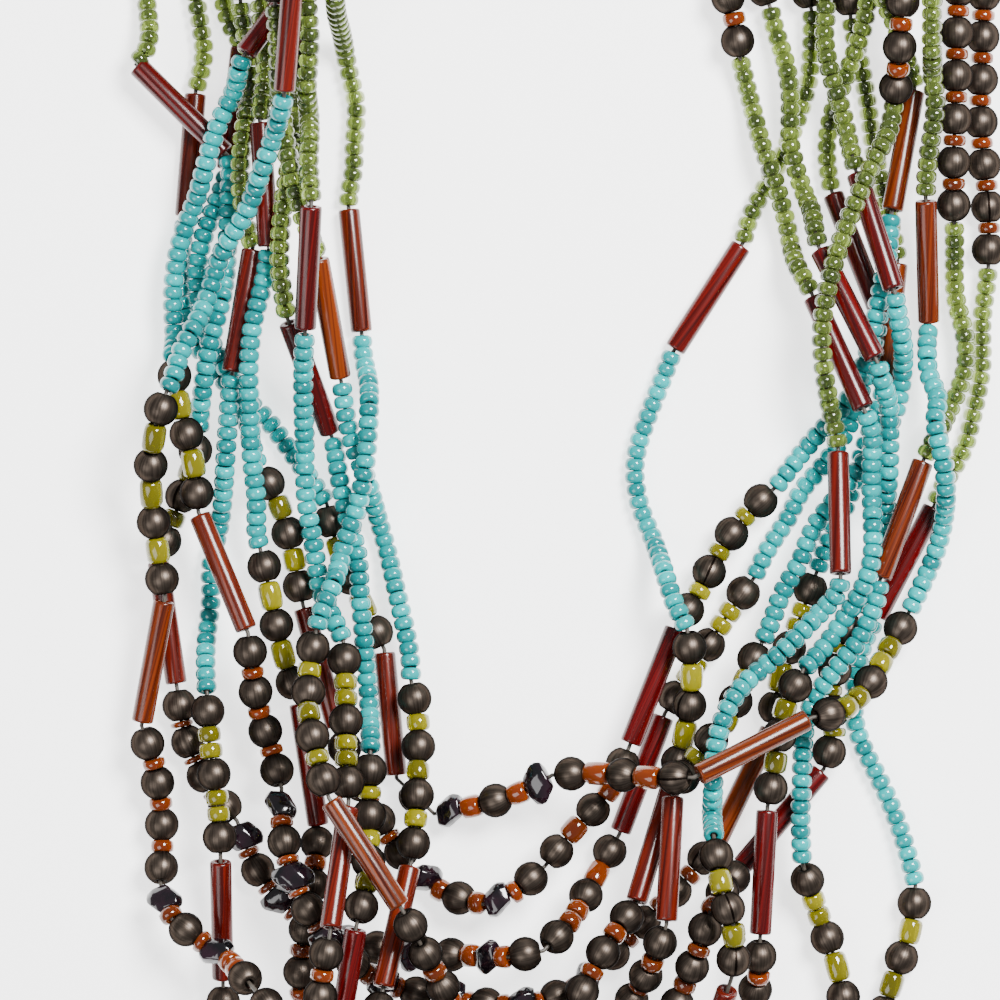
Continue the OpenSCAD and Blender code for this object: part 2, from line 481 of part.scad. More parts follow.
module clasp() {
  c = plan([clasp_x, clasp_y]);
  color("darkgoldenrod") translate([c[0] - clasp_len / 2, c[1] - clasp_w / 2, 0]) linear_extrude(clasp_h)
    translate([clasp_r, clasp_r]) bar_outline(clasp_len - 2 * clasp_r, clasp_w - 2 * clasp_r);
}
module bar_outline(w, l) {
  square([w, l]);
  translate([-clasp_r, 0]) square([w + 2 * clasp_r, l]);
  translate([0, -clasp_r]) square([w, l + 2 * clasp_r]);
  for (x = [0, w], y = [0, l]) translate([x, y]) circle(r = clasp_r, $fn = fine);
}

clasp();
string(1);  // string_1
string(2);  // string_2
string(3);  // string_3
string(4);  // string_4
string(5);  // string_5
string(6);  // string_6
string(7);  // string_7
string(8);  // string_8
string(9);  // string_9
string(10);  // string_10
string(11);  // string_11
beads_of(1);  // beads_1
beads_of(2);  // beads_2
beads_of(3);  // beads_3
beads_of(4);  // beads_4
beads_of(5);  // beads_5
beads_of(6);  // beads_6
beads_of(7);  // beads_7
beads_of(8);  // beads_8
beads_of(9);  // beads_9
beads_of(10);  // beads_10
beads_of(11);  // beads_11
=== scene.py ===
"""A necklace of eleven bead strings on one clasp, laid out flat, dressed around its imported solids."""

import math

import bmesh
import bpy
import numpy as np
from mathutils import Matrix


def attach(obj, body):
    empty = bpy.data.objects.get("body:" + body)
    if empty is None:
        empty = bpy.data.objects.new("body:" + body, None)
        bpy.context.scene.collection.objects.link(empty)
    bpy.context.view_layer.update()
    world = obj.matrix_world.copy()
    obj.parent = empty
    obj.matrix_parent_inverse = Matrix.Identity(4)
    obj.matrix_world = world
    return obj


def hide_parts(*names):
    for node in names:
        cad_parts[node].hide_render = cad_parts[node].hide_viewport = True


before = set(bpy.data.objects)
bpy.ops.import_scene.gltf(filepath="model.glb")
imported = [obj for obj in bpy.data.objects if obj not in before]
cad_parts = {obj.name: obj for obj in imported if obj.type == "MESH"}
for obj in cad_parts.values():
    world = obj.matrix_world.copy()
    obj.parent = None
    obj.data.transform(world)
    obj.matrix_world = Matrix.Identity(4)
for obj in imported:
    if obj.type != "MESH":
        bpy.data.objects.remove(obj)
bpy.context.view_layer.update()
MM = 0.001

# The surface and the camera. The necklace lies on a plain pale table and is seen from straight above.
# The plan below counts in units of 0.17 mm, and a thousand of them span the picture.
PLAN_UNIT = 0.17
MIDDLE_X, MIDDLE_Y = 563.78, 462.93
VIEW_X, VIEW_Y = 500, 500
VIEW_WIDTH = 1000 * PLAN_UNIT * MM
VIEW_LEVEL = 7 * MM
CAMERA_HEIGHT = 1.1
TABLE_SIZE = 3.0
TABLE_COLOUR = (0.93, 0.93, 0.93, 1)
TABLE_ROUGHNESS = 0.7
TABLE_GLOW = 2.2


def plan(x, y):
    """Place of a point of the plan, in millimetres from the middle of the necklace."""
    return np.array([x - MIDDLE_X, MIDDLE_Y - y]) * PLAN_UNIT


def plain_material(name, colour, roughness, metallic=0.0):
    """A new material of one colour and roughness, with its tree and its shader."""
    material = bpy.data.materials.new(name)
    material.use_nodes = True
    shader = material.node_tree.nodes["Principled BSDF"]
    shader.inputs["Base Color"].default_value = colour
    shader.inputs["Roughness"].default_value = roughness
    shader.inputs["Metallic"].default_value = metallic
    return material, material.node_tree, shader


view_centre = plan(VIEW_X, VIEW_Y) * MM
camera = bpy.data.objects.new("camera", bpy.data.cameras.new("camera"))
camera.location = (view_centre[0], view_centre[1], CAMERA_HEIGHT)
camera.data.angle = 2 * math.atan(VIEW_WIDTH / 2 / (CAMERA_HEIGHT - VIEW_LEVEL))
bpy.context.scene.collection.objects.link(camera)
bpy.context.scene.camera = camera

bpy.ops.mesh.primitive_plane_add(size=TABLE_SIZE)
table = bpy.context.object
table.name = "table"
table_top, _, table_shader = plain_material("table_top", TABLE_COLOUR, TABLE_ROUGHNESS)
table_shader.inputs["Emission Color"].default_value = TABLE_COLOUR
table_shader.inputs["Emission Strength"].default_value = TABLE_GLOW
table.data.materials.append(table_top)

# The light. Soft as in a studio: a wide lamp high at the upper right, a weaker one at the lower left, and
# a pale sky that fills the shadows between the strings.
LAMPS = (
    # name, place, size, watts
    ("key_lamp", (0.35, 0.35, 0.80), 0.35, 26.0),
    ("fill_lamp", (-0.50, -0.35, 0.80), 0.60, 5.0),
)
SKY_COLOUR = (0.97, 0.98, 1.0, 1)
SKY_STRENGTH = 0.30
for name, place, size, watts in LAMPS:
    lamp = bpy.data.lights.new(name, "AREA")
    lamp.size = size
    lamp.energy = watts
    holder = bpy.data.objects.new(name, lamp)
    holder.location = place
    aim_at = bpy.data.objects.new(name + "_aim", None)
    aim_at.location = (view_centre[0], view_centre[1], 0)
    track = holder.constraints.new("TRACK_TO")
    track.target = aim_at
    bpy.context.scene.collection.objects.link(aim_at)
    bpy.context.scene.collection.objects.link(holder)
sky = bpy.data.worlds.new("sky")
sky.use_nodes = True
sky.node_tree.nodes["Background"].inputs["Color"].default_value = SKY_COLOUR
sky.node_tree.nodes["Background"].inputs["Strength"].default_value = SKY_STRENGTH
bpy.context.scene.world = sky

# The strings' way. Each string runs from the clasp round the left side to the front and back up the
# right side, and its beads come in stretches of one kind. The half strings were laid down one after
# another, so each one climbs over those that it crosses.
GR, BU, TU, BY, BO, CH = range(1, 7)  # green, bugle, turquoise, round with yellow, with orange, chips
ROUND_D, ROUND_LEN = 5.9, 5.2
SEED_D = 3.4
BUGLE_D, BUGLE_LEN = 3.7, 21.0
CHIP_W, CHIP_T, CHIP_H = 8.0, 4.4, 5.0
YELLOW_LEN, ORANGE_LEN = 3.2, 2.1
GREEN_LEN, BACK_LEN = 42.0, 50.0
CLASP_X, CLASP_Y, CLASP_LEN = 530, -340, 18.0
SPLIT_X = 500
SEED_GAP = 0.35
FACE_PITCH, FACE_GAP, FACE_RUN = SEED_D + SEED_GAP, 0.4, 4.0
BEAD_GAP, END_GAP, BEND_GAP, CHIP_GAP, REST_GAP = 0.15, 0.6, 0.5, 1.0, 0.45
# A climb over another string has slopes HUMP long and is level for FLAT_SEED or FLAT_BEAD each way. CELL
# is the square in which crossing strings are looked for.
HUMP, FLAT_SEED, FLAT_BEAD = 11.0, 1.7, 4.4
STEP, CELL, HUMP_POINTS = 3.4, 10.0, 9
ARC_POINTS, FAN = 6, 1.6
# Up to string FREE_ROUNDS the front has drilled beads. BACK_PARTS stretches at each end are hidden.
FREE_ROUNDS, BACK_PARTS = 4, 3
FINE_STEP = 0.4
SLACK = 0.01
SPLIT_MARGIN = 10

# Routes on the plan, left top to right top: across, down, and the kind of stretch that starts there.
ROUTES = (
    ((195, 0), (203, 55), (194, 92, BU), (184, 215, TU), (178, 262), (182, 310), (200, 352),
     (230, 388), (262, 414), (290, 452), (312, 482), (326, 503, BY), (337, 552), (355, 592),
     (376, 628), (384, 652, BU), (396, 777, BO), (401, 794), (413, 808), (434, 815, CH), (470, 808),
     (500, 798), (530, 790), (552, 774, BO), (592, 770), (628, 770), (658, 777), (679, 777),
     (693, 772, BU), (806, 716, BY), (826, 722), (857, 704), (876, 668), (902, 632), (910, 612, TU),
     (928, 575), (942, 535), (945, 495), (940, 455), (932, 420), (938, 398), (928, 375), (928, 335),
     (930, 325, BU), (925, 198, GR), (928, 150), (934, 110), (929, 60), (928, 0)),
    ((222, 0), (228, 22), (240, 45, BU), (226, 168, TU), (214, 205), (200, 245), (196, 285),
     (205, 330), (228, 372), (245, 410), (250, 440), (258, 467, BY), (280, 504), (292, 548),
     (300, 597), (303, 608, BU), (336, 728, BO), (345, 748), (362, 790), (392, 842), (412, 868, CH),
     (440, 893), (472, 905), (502, 901), (526, 885), (545, 866, BO), (576, 826), (612, 792),
     (626, 752), (631, 742, BU), (675, 630, BY), (692, 608), (709, 572), (732, 530), (762, 500),
     (775, 488, TU), (800, 456), (820, 432), (848, 400), (868, 350), (878, 300), (888, 250),
     (893, 208, BU), (915, 92, GR), (905, 55), (892, 20), (880, 0)),
    ((145, 0), (149, 35), (146, 52), (138, 66, BU), (224, 152, TU), (229, 195), (227, 250), (222, 300),
     (211, 340), (204, 380), (199, 420), (199, 432, BY), (197, 450), (184, 487), (170, 525),
     (161, 545), (156, 556, BU), (176, 690, BO), (176, 705), (186, 742), (205, 785), (236, 822, CH),
     (250, 862), (274, 898), (310, 926), (350, 945), (400, 952), (450, 955), (500, 953), (522, 955),
     (543, 947, BO), (572, 920), (594, 880), (616, 845), (621, 832, BU), (664, 718, BY), (672, 700),
     (685, 680), (703, 660), (720, 628), (744, 592), (755, 578, TU), (768, 550), (790, 518),
     (803, 490), (825, 465), (848, 430), (862, 390), (872, 350), (878, 308, BU), (834, 192, GR),
     (828, 160), (830, 125), (840, 92), (852, 60), (864, 25), (868, 0)),
    ((335, -80), (320, -45, BU), (246, 58, TU), (236, 92), (221, 120), (208, 160), (198, 195),
     (183, 230), (175, 262), (172, 300), (174, 340), (173, 358, BY), (172, 372), (182, 415),
     (195, 458), (199, 500), (200, 514, BU), (248, 630, BO), (253, 652), (254, 688), (262, 722),
     (276, 762), (282, 788, CH), (282, 824), (290, 862), (305, 900), (345, 955), (400, 988),
     (450, 1000), (500, 1003), (560, 996), (600, 968, BO), (640, 928), (675, 893), (704, 862),
     (718, 842, BU), (772, 730, BY), (776, 715), (778, 688), (785, 655), (800, 622), (808, 596),
     (818, 572, TU), (828, 545), (850, 500), (865, 450), (880, 410), (886, 385, BU), (899, 262, GR),
     (892, 225), (884, 185), (875, 145), (870, 105), (862, 60), (852, 20), (852, 0)),
    ((337, 0), (342, 35), (348, 70), (356, 105), (353, 140), (353, 170), (347, 196), (348, 207, BU),
     (361, 332, TU), (362, 355), (369, 385), (369, 425), (366, 465), (358, 508), (345, 543),
     (336, 580), (322, 612), (318, 628, BY), (314, 650), (308, 690), (315, 735), (328, 780),
     (333, 795, BU), (402, 900, BO), (418, 930), (440, 975), (465, 1022), (490, 1048), (512, 1054),
     (540, 1046), (562, 1022), (582, 985), (605, 940), (624, 916), (635, 902, BU), (672, 783, BY),
     (677, 770), (686, 730), (693, 687), (690, 642), (686, 628, TU), (672, 600), (664, 572),
     (654, 540), (640, 505), (635, 470), (640, 440), (650, 412), (662, 382), (672, 356),
     (676, 348, BU), (742, 245, GR), (748, 222), (758, 200), (776, 170), (792, 135), (803, 105),
     (811, 75), (813, 35), (812, 0)),
    ((260, 0), (266, 45), (265, 85), (262, 112), (261, 122, BU), (270, 250, TU), (266, 280),
     (255, 320), (250, 365), (251, 410), (252, 457), (257, 500), (256, 535), (260, 548, BY),
     (271, 595), (278, 643), (292, 685), (299, 702, BU), (318, 828, BO), (316, 845), (314, 893),
     (304, 935), (298, 972), (305, 1010), (335, 1050), (380, 1076), (430, 1088), (500, 1090),
     (560, 1080), (600, 1050), (628, 1005), (648, 968), (660, 935), (665, 920, BU), (672, 792, BY),
     (682, 768), (705, 745), (736, 708), (746, 668), (762, 642, TU), (773, 618), (782, 592),
     (800, 562), (812, 530), (835, 500), (862, 465), (888, 430), (901, 395), (903, 355), (897, 322),
     (893, 303), (891, 290, BU), (856, 175, GR), (848, 140), (840, 105), (830, 75), (824, 40),
     (826, 0)),
    ((310, 0), (313, 45), (309, 95), (312, 140), (311, 175), (314, 196), (314, 208, BU),
     (307, 333, TU), (304, 380), (305, 440), (306, 500), (314, 545), (320, 590), (336, 622),
     (344, 640, BY), (347, 690), (346, 735), (352, 785), (350, 800, BU), (333, 925, BO), (330, 948),
     (320, 995), (328, 1040), (360, 1095), (410, 1134), (460, 1145), (510, 1147), (570, 1137),
     (620, 1106), (658, 1045), (680, 990), (696, 948), (708, 905), (735, 875), (742, 866, BU),
     (822, 772, BY), (835, 755), (835, 725), (830, 690), (840, 650), (856, 612, TU), (872, 570),
     (884, 530), (888, 480), (889, 430), (888, 405), (880, 382), (876, 370), (874, 362, BU),
     (818, 248, GR), (812, 212), (800, 180), (790, 140), (791, 100), (786, 60), (775, 25), (770, 0)),
    ((295, 0), (298, 60), (297, 115), (290, 170), (283, 225), (281, 268), (286, 305), (288, 318, BU),
     (332, 438, TU), (338, 470), (346, 512), (358, 555), (360, 595), (364, 640), (368, 690),
     (371, 735), (371, 750, BY), (370, 803), (370, 852), (366, 905), (358, 922, BU), (338, 1046, BO),
     (345, 1086), (370, 1138), (420, 1184), (470, 1202), (530, 1204), (590, 1192), (640, 1161),
     (678, 1120), (692, 1094, BU), (728, 974, BY), (734, 950), (732, 925), (718, 885), (712, 848),
     (711, 832, TU), (711, 790), (713, 745), (722, 712), (742, 682), (775, 655), (805, 625),
     (828, 602), (838, 588), (838, 577, BU), (837, 449, GR), (830, 415), (822, 375), (819, 335, GR),
     (826, 285), (845, 225), (868, 170), (890, 125), (896, 60), (900, 0)),
    ((278, 0), (281, 50), (282, 105), (290, 160), (303, 215), (315, 245), (319, 258, BU),
     (341, 380, TU), (346, 415), (355, 450), (368, 482), (378, 520), (389, 560), (397, 595),
     (406, 632), (411, 664), (411, 680, BY), (421, 738), (416, 785), (417, 845), (411, 862, BU),
     (384, 985, BO), (378, 1010), (375, 1051), (385, 1122), (415, 1187), (460, 1240), (500, 1257),
     (560, 1261), (620, 1242), (670, 1193), (720, 1110), (745, 1030), (756, 985), (762, 950),
     (759, 933, BU), (766, 808, BY), (768, 790), (775, 755), (780, 715), (790, 684), (802, 668, TU),
     (822, 648), (845, 615), (860, 590), (870, 560), (871, 520), (870, 470), (871, 435), (866, 418),
     (862, 410, BU), (812, 296, GR), (795, 262), (788, 225), (775, 180), (762, 145), (754, 110),
     (744, 70), (735, 30), (733, 0)),
    ((240, 0), (248, 50), (250, 95), (243, 140), (241, 185), (249, 235), (253, 250, BU),
     (233, 372, TU), (229, 415), (225, 470), (219, 525), (209, 565), (210, 600), (205, 640),
     (206, 682), (207, 692, BY), (210, 748), (218, 795), (222, 842), (221, 858, BU), (222, 983, BO),
     (220, 1003), (228, 1051), (255, 1123), (300, 1190), (360, 1256), (430, 1302), (480, 1314),
     (540, 1316), (610, 1302), (670, 1268), (730, 1226), (785, 1190), (815, 1140, BU), (846, 1018, BY),
     (850, 990), (832, 955), (818, 915), (808, 876), (802, 862, TU), (800, 820), (801, 770),
     (803, 735), (812, 700), (835, 668), (858, 640), (870, 615), (878, 590), (880, 577, BU),
     (922, 462, GR), (940, 430), (955, 400), (966, 370), (966, 335), (957, 300), (956, 250),
     (953, 170), (956, 100), (956, 40), (958, 0)),
    ((300, -60), (298, -25, BU), (288, 100, TU), (276, 142), (262, 180), (247, 217), (222, 255),
     (212, 287), (200, 320), (183, 352), (176, 380), (170, 392, BY), (164, 410), (151, 453),
     (151, 495), (157, 540), (163, 580), (165, 600, BU), (142, 723, BO), (148, 742), (158, 782),
     (161, 828), (161, 866), (160, 884, CH), (167, 912), (190, 933), (220, 950), (262, 985, BO),
     (300, 1040), (328, 1145), (370, 1258), (425, 1343), (500, 1379), (560, 1378), (640, 1370),
     (720, 1337), (790, 1279), (832, 1207), (845, 1155, BU), (880, 1035, BY), (886, 1010), (892, 985),
     (910, 948), (920, 902), (917, 886, TU), (905, 840), (888, 795), (868, 755), (856, 722),
     (857, 680), (866, 640), (877, 622), (881, 613, BU), (933, 512, GR), (948, 480), (966, 450),
     (975, 415), (984, 370), (984, 320), (990, 270), (990, 200), (984, 150), (982, 100), (985, 40),
     (985, 0)),
)
STRINGS = len(ROUTES)
STACK = ((1, 0), (2, 0), (3, 0), (10, 0), (6, 0), (4, 0), (8, 0), (9, 0), (7, 0), (5, 0), (11, 0),
         (4, 1), (3, 1), (2, 1), (5, 1), (6, 1), (11, 1), (7, 1), (10, 1), (9, 1), (8, 1), (1, 1))
FACE_LEFT = (3, 1, 2, 10, 6, 9, 8, 11, 7, 4, 5)
FACE_RIGHT = (11, 10, 1, 8, 2, 3, 4, 6, 5, 7, 9)


def whole(number):
    """The nearest whole number, with halves rounded up."""
    return int(math.floor(number + 0.5))


def back_turn(start, order, k, side):
    """Quarter of an ellipse from the top of a bundle to the string's place on the clasp."""
    rank = order.index(k)
    goal = plan(CLASP_X, CLASP_Y)
    goal = goal + (side * (CLASP_LEN / 2 + FACE_GAP), ((STRINGS - 1) / 2 - rank) * FACE_PITCH)
    out = math.copysign(1, start[0] - goal[0])
    inner = goal + (out * FACE_RUN, 0)
    turn = []
    for i in range(1, ARC_POINTS + 1):
        angle = math.pi / 2 * i / ARC_POINTS
        spread = FAN * ((STRINGS - 1) / 2 - rank) * math.sin(2 * angle)
        turn.append(np.array([
            inner[0] - (inner[0] - start[0]) * math.cos(angle) + out * spread * math.cos(angle),
            start[1] + (inner[1] - start[1]) * math.sin(angle) + spread * math.sin(angle)]))
    return turn + [goal]


def route(k):
    """Points of a string's whole route and the kind that starts at each, with its bugles true to length."""
    rows = ROUTES[k - 1]
    kinds = [row[2] if len(row) > 2 else 0 for row in rows]
    places = [plan(row[0], row[1]) for row in rows]
    points = list(places)
    for i, kind in enumerate(kinds):
        if kind == BU:
            middle, along = (places[i] + places[i + 1]) / 2, places[i + 1] - places[i]
            reach = along / np.linalg.norm(along) * (BUGLE_LEN / 2 + END_GAP)
            points[i], points[i + 1] = middle - reach, middle + reach
    left = back_turn(points[0], FACE_LEFT, k, -1)[::-1]
    right = back_turn(points[-1], FACE_RIGHT, k, 1)
    return left + points + right, [0] * len(left) + kinds + [0] * len(right)


def heading(points, kinds, i):
    """Direction of a route at its point i: straight along a bugle, and smooth elsewhere."""
    after_bugle = i > 0 and kinds[i - 1] == BU
    a = i if kinds[i] == BU else max(i - 1, 0)
    b = i + 1 if kinds[i] == BU else i if after_bugle else min(i + 1, len(points) - 1)
    along = points[b] - points[a]
    return along / np.linalg.norm(along)


def even_points(points, kinds):
    """Points a step apart on a smooth curve through the route, with the kinds that start there."""
    out, marks = [], []
    for i in range(len(points) - 1):
        a, b = points[i], points[i + 1]
        size = np.linalg.norm(b - a)
        u, v = heading(points, kinds, i) * size, heading(points, kinds, i + 1) * size
        n = max(1, whole(size / STEP))
        for j in range(n):
            t = j / n
            q, c = t * t, t * t * t
            out.append(a * (2 * c - 3 * q + 1) + u * (c - 2 * q + t) + b * (3 * q - 2 * c) + v * (c - q))
            marks.append(kinds[i] if j == 0 else 0)
    return np.array(out + [points[-1]]), marks + [0]


def stretches(marks, run):
    """Stretches of a string as (kind, start, end), with the seed and round beads of its hidden back."""
    named = [(kind, run[i]) for i, kind in enumerate(marks) if kind]
    total, first, last = run[-1], named[0][1], named[-1][1]
    ends = [(GR, 0.0), (BO, max(ROUND_D, first - GREEN_LEN - BACK_LEN)),
            (GR, max(2 * ROUND_D, first - GREEN_LEN))]
    ends += named
    ends += [(BO, min(total - 2 * ROUND_D, last + GREEN_LEN)),
             (GR, min(total - ROUND_D, last + GREEN_LEN + BACK_LEN)), (0, total)]
    return [(ends[i][0], ends[i][1], ends[i + 1][1]) for i in range(len(ends) - 1)]


def half_string(k, side):
    """A half string's points as columns x, y, radius, running length and whether a bugle is there."""
    points, run, parts = PLAIN[k - 1], RUN[k - 1], PARTS[k - 1]
    split = plan(SPLIT_X, 0)[0]
    n = len(points)
    cut = next(i for i in range(SPLIT_MARGIN, n - SPLIT_MARGIN + 1)
               if points[i - 1][0] <= split < points[i][0] and points[i][1] < 0)
    rows = []
    for i in range(cut) if side == 0 else range(cut, n):
        kinds = [kind for kind, a, b in parts if a - SLACK <= run[i] <= b + SLACK]
        rows.append((*points[i], max(RADIUS[kind] for kind in kinds), run[i], float(BU in kinds)))
    return np.array(rows)


def directions(rows):
    """Level direction of a half string at each of its points."""
    ends = np.minimum(np.arange(len(rows)) + 1, len(rows) - 1), np.maximum(np.arange(len(rows)) - 1, 0)
    along = rows[ends[0], :2] - rows[ends[1], :2]
    return along / np.linalg.norm(along, axis=1)[:, None]


def needed(rows, laid):
    """Height at which each point clears what is laid: rows of x, y, z, dx, dy, dz, radius, ux, uy."""
    heights = np.minimum(rows[:, 2], ROUND_D / 2)
    if not len(laid):
        return heights
    for i, (u, row) in enumerate(zip(directions(rows), rows)):
        near = (np.abs(np.floor(laid[:, 0] / CELL) - math.floor(row[0] / CELL)) <= 1) \
            & (np.abs(np.floor(laid[:, 1] / CELL) - math.floor(row[1] / CELL)) <= 1)
        g = laid[near]
        t = np.clip(((row[:2] - g[:, :2]) * g[:, 3:5]).sum(1) / (g[:, 3:5] ** 2).sum(1), 0, 1)
        away = np.linalg.norm(row[:2] - g[:, :2] - t[:, None] * g[:, 3:5], axis=1)
        away = np.maximum(0, away - STEP / 2 * np.abs(u[0] * g[:, 8] - u[1] * g[:, 7]))
        reach = row[2] + g[:, 6] + REST_GAP
        rise = min(row[2], ROUND_D / 2) + np.minimum(g[:, 6], ROUND_D / 2) + REST_GAP
        under = away < reach
        over = (g[:, 2] + t * g[:, 5])[under] + rise[under] * np.sqrt(1 - (away[under] / reach[under]) ** 2)
        heights[i] = max([heights[i], *over])
    return heights


def eased(rows, heights, only_bugles):
    """The same heights with a hump's slopes on both sides of each point."""
    out = np.zeros(len(rows))
    for i in range(len(rows)):
        span = np.arange(max(0, i - HUMP_POINTS), min(len(rows), i + HUMP_POINTS + 1))
        level = FLAT_SEED if rows[i, 2] < ROUND_D / 2 else FLAT_BEAD
        away = np.maximum(0, np.abs(rows[span, 3] - rows[i, 3]) - level)
        keep = (away < HUMP) & ((rows[span, 4] > 0) | (not only_bugles))
        share = 0.5 + 0.5 * np.cos(np.pi * away[keep] / HUMP)
        out[i] = max([0.0, *(SEED_D / 2 + (heights[span[keep]] - SEED_D / 2) * share)])
    return out


def straight_bugles(rows, heights):
    """The same heights with each bugle on one straight line over all that it crosses."""
    out = heights.copy()
    i = 0
    while i < len(rows):
        if not rows[i, 4]:
            i += 1
            continue
        end = i
        while end < len(rows) - 1 and rows[end + 1, 4]:
            end += 1
        s = rows[i:end + 1, 3] - rows[i, 3]
        size = max(SLACK, s[-1])
        e = heights[i:end + 1]
        low, high = e[s < size / 3].max(), e[size - s < size / 3].max()
        line = low + (high - low) * s / size
        out[i:end + 1] = line + max(0, (e - line).max())
        i = end + 1
    return out


RADIUS = {GR: SEED_D / 2, TU: SEED_D / 2, BU: BUGLE_D / 2, CH: CHIP_W / 2, BY: ROUND_D / 2, BO: ROUND_D / 2}
PLAIN, RUN, PARTS = [], [], []
for k in range(1, STRINGS + 1):
    points, marks = even_points(*route(k))
    run = np.concatenate([[0], np.cumsum(np.linalg.norm(np.diff(points, axis=0), axis=1))])
    PLAIN.append(points)
    RUN.append(run)
    PARTS.append(stretches(marks, run))

laid = np.zeros((0, 9))
halves = {}
for k, side in STACK:
    rows = half_string(k, side)
    need = needed(rows, laid)
    if side == 1 and (k, 0) in halves:
        need[0] = max(need[0], halves[k, 0][-1, 3])
    level = np.maximum(np.minimum(rows[:, 2], ROUND_D / 2), eased(rows, need, False))
    z = straight_bugles(rows, level)
    z = np.where(rows[:, 4] > 0, z, np.maximum(z, eased(rows, z, True)))
    halves[k, side] = np.column_stack([rows[:, 3], rows[:, :2], z])
    path = np.column_stack([rows[:, :2], z])
    laid = np.vstack([laid, np.column_stack([
        path[:-1], np.diff(path, axis=0), np.maximum(rows[:-1, 2], rows[1:, 2]), directions(rows)[:-1]])])


def tied(rows, z):
    """A left half whose last points are raised to meet its right half at height z."""
    away = rows[-1, 0] - rows[:, 0]
    share = np.where(away <= HUMP, 0.5 + 0.5 * np.cos(np.pi * away / HUMP), 0)
    raised = rows.copy()
    raised[:, 3] = np.maximum(rows[:, 3], np.where(away <= HUMP, SEED_D / 2 + (z - SEED_D / 2) * share, 0))
    return raised


WAY = [np.vstack([tied(halves[k, 0], halves[k, 1][0, 3]), halves[k, 1]]) for k in range(1, STRINGS + 1)]


def spot(k, s):
    """Place on string k at running length s."""
    return np.array([np.interp(s, WAY[k - 1][:, 0], WAY[k - 1][:, c]) for c in (1, 2, 3)])


# Places of beads. A large bead is kept as (kind, from, to, middle) in running lengths, and lies on the
# straight line between the middles of the gaps beside it.
def spaced(kind, a, b, space):
    """Round beads spread evenly from a to b, about a spacer's length apart."""
    free = b - a - 2 * END_GAP
    n = max(1, min(whole((free + space) / (ROUND_LEN + space)),
                   math.floor((free + BEND_GAP) / (ROUND_LEN + BEND_GAP))))
    gap = (free - n * ROUND_LEN) / (n - 1) if n > 1 else 0
    first = a + END_GAP + ROUND_LEN / 2 if n > 1 else (a + b) / 2
    centres = [first + i * (ROUND_LEN + gap) for i in range(n)]
    cuts = [a] + [c + (ROUND_LEN + gap) / 2 for c in centres[:-1]] + [b]
    return [(kind, cuts[i], cuts[i + 1], centres[i]) for i in range(n)]


def chipped(a, b):
    """Chips and round beads by turns, spread evenly from a to b."""
    pair = CHIP_T + ROUND_LEN + 2 * CHIP_GAP
    size = b - a - 2 * END_GAP + CHIP_GAP
    n = 2 * int(size // pair) + (1 if size % pair > CHIP_T + CHIP_GAP else 0)
    longs = [CHIP_T if i % 2 == 0 else ROUND_LEN for i in range(n)]
    gap = (b - a - 2 * END_GAP - sum(longs)) / (n - 1) if n > 1 else 0
    starts = [a + END_GAP + sum(longs[:i]) + i * gap for i in range(n)]
    return [(CH if i % 2 == 0 else BY, a if i == 0 else starts[i] - gap / 2,
             b if i == n - 1 else starts[i] + longs[i] + gap / 2, starts[i] + longs[i] / 2)
            for i in range(n)]


def true_lengths(k, a, b):
    """Running lengths from a to b, and the way along the thread in space up to each."""
    s = np.linspace(a, b, max(2, int((b - a) / FINE_STEP)))
    path = np.array([spot(k, q) for q in s])
    return s, np.concatenate([[0], np.cumsum(np.linalg.norm(np.diff(path, axis=0), axis=1))])


def thick(k, j):
    """A stretch of round beads that the solids hold as one thick piece of their string."""
    parts = PARTS[k - 1]
    return parts[j][0] == BO and (k > FREE_ROUNDS or j < BACK_PARTS or j >= len(parts) - BACK_PARTS)


def large_beads(k, j):
    """Large beads of stretch j of string k, as (kind, from, to, middle)."""
    kind, a, b = PARTS[k - 1][j]
    if kind == BU:
        return [(BU, a, b, (a + b) / 2)]
    if kind == CH:
        return chipped(a, b)
    if kind not in (BY, BO):
        return []
    space = (YELLOW_LEN if kind == BY else ORANGE_LEN) + 2 * BEAD_GAP
    if not thick(k, j):
        return spaced(kind, a, b, space)
    s, way = true_lengths(k, a, b)
    return [(kind, *np.interp(bead[1:], way, s)) for bead in spaced(kind, 0, way[-1], space)]


def seat(k, bead):
    """Place and direction of a bead."""
    kind, a, b, centre = bead
    low, high = spot(k, a), spot(k, b)
    return low + (high - low) * (centre - a) / (b - a), (high - low) / np.linalg.norm(high - low)


# The thread. A dark nylon thread runs through all beads of a string, from the clasp and back to it. It
# bends only between beads, where it shows in the gaps.
THREAD_R = 0.35
THREAD_SIDES = 6
THREAD_STEP = 3.0
THREAD_COLOUR = (0.06, 0.05, 0.04, 1)
THREAD_ROUGHNESS = 0.5
thread_material = plain_material("thread", THREAD_COLOUR, THREAD_ROUGHNESS)[0]


def finish_piece(name, mesh, material, node):
    """A piece that is seen in place of a node's solids, with its material."""
    mesh.materials.append(material)
    piece = bpy.data.objects.new(name, mesh)
    bpy.context.scene.collection.objects.link(piece)
    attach(piece, "root")
    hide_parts(node)
    return piece


def thread_cuts(k):
    """Running lengths at which a string's thread may bend."""
    cuts = []
    for j, part in enumerate(PARTS[k - 1]):
        beads = large_beads(k, j)
        if beads:
            cuts += [bead[1] for bead in beads]
        else:
            cuts += list(np.linspace(part[1], part[2], max(2, int((part[2] - part[1]) / THREAD_STEP)))[:-1])
    return cuts + [PARTS[k - 1][-1][2]]


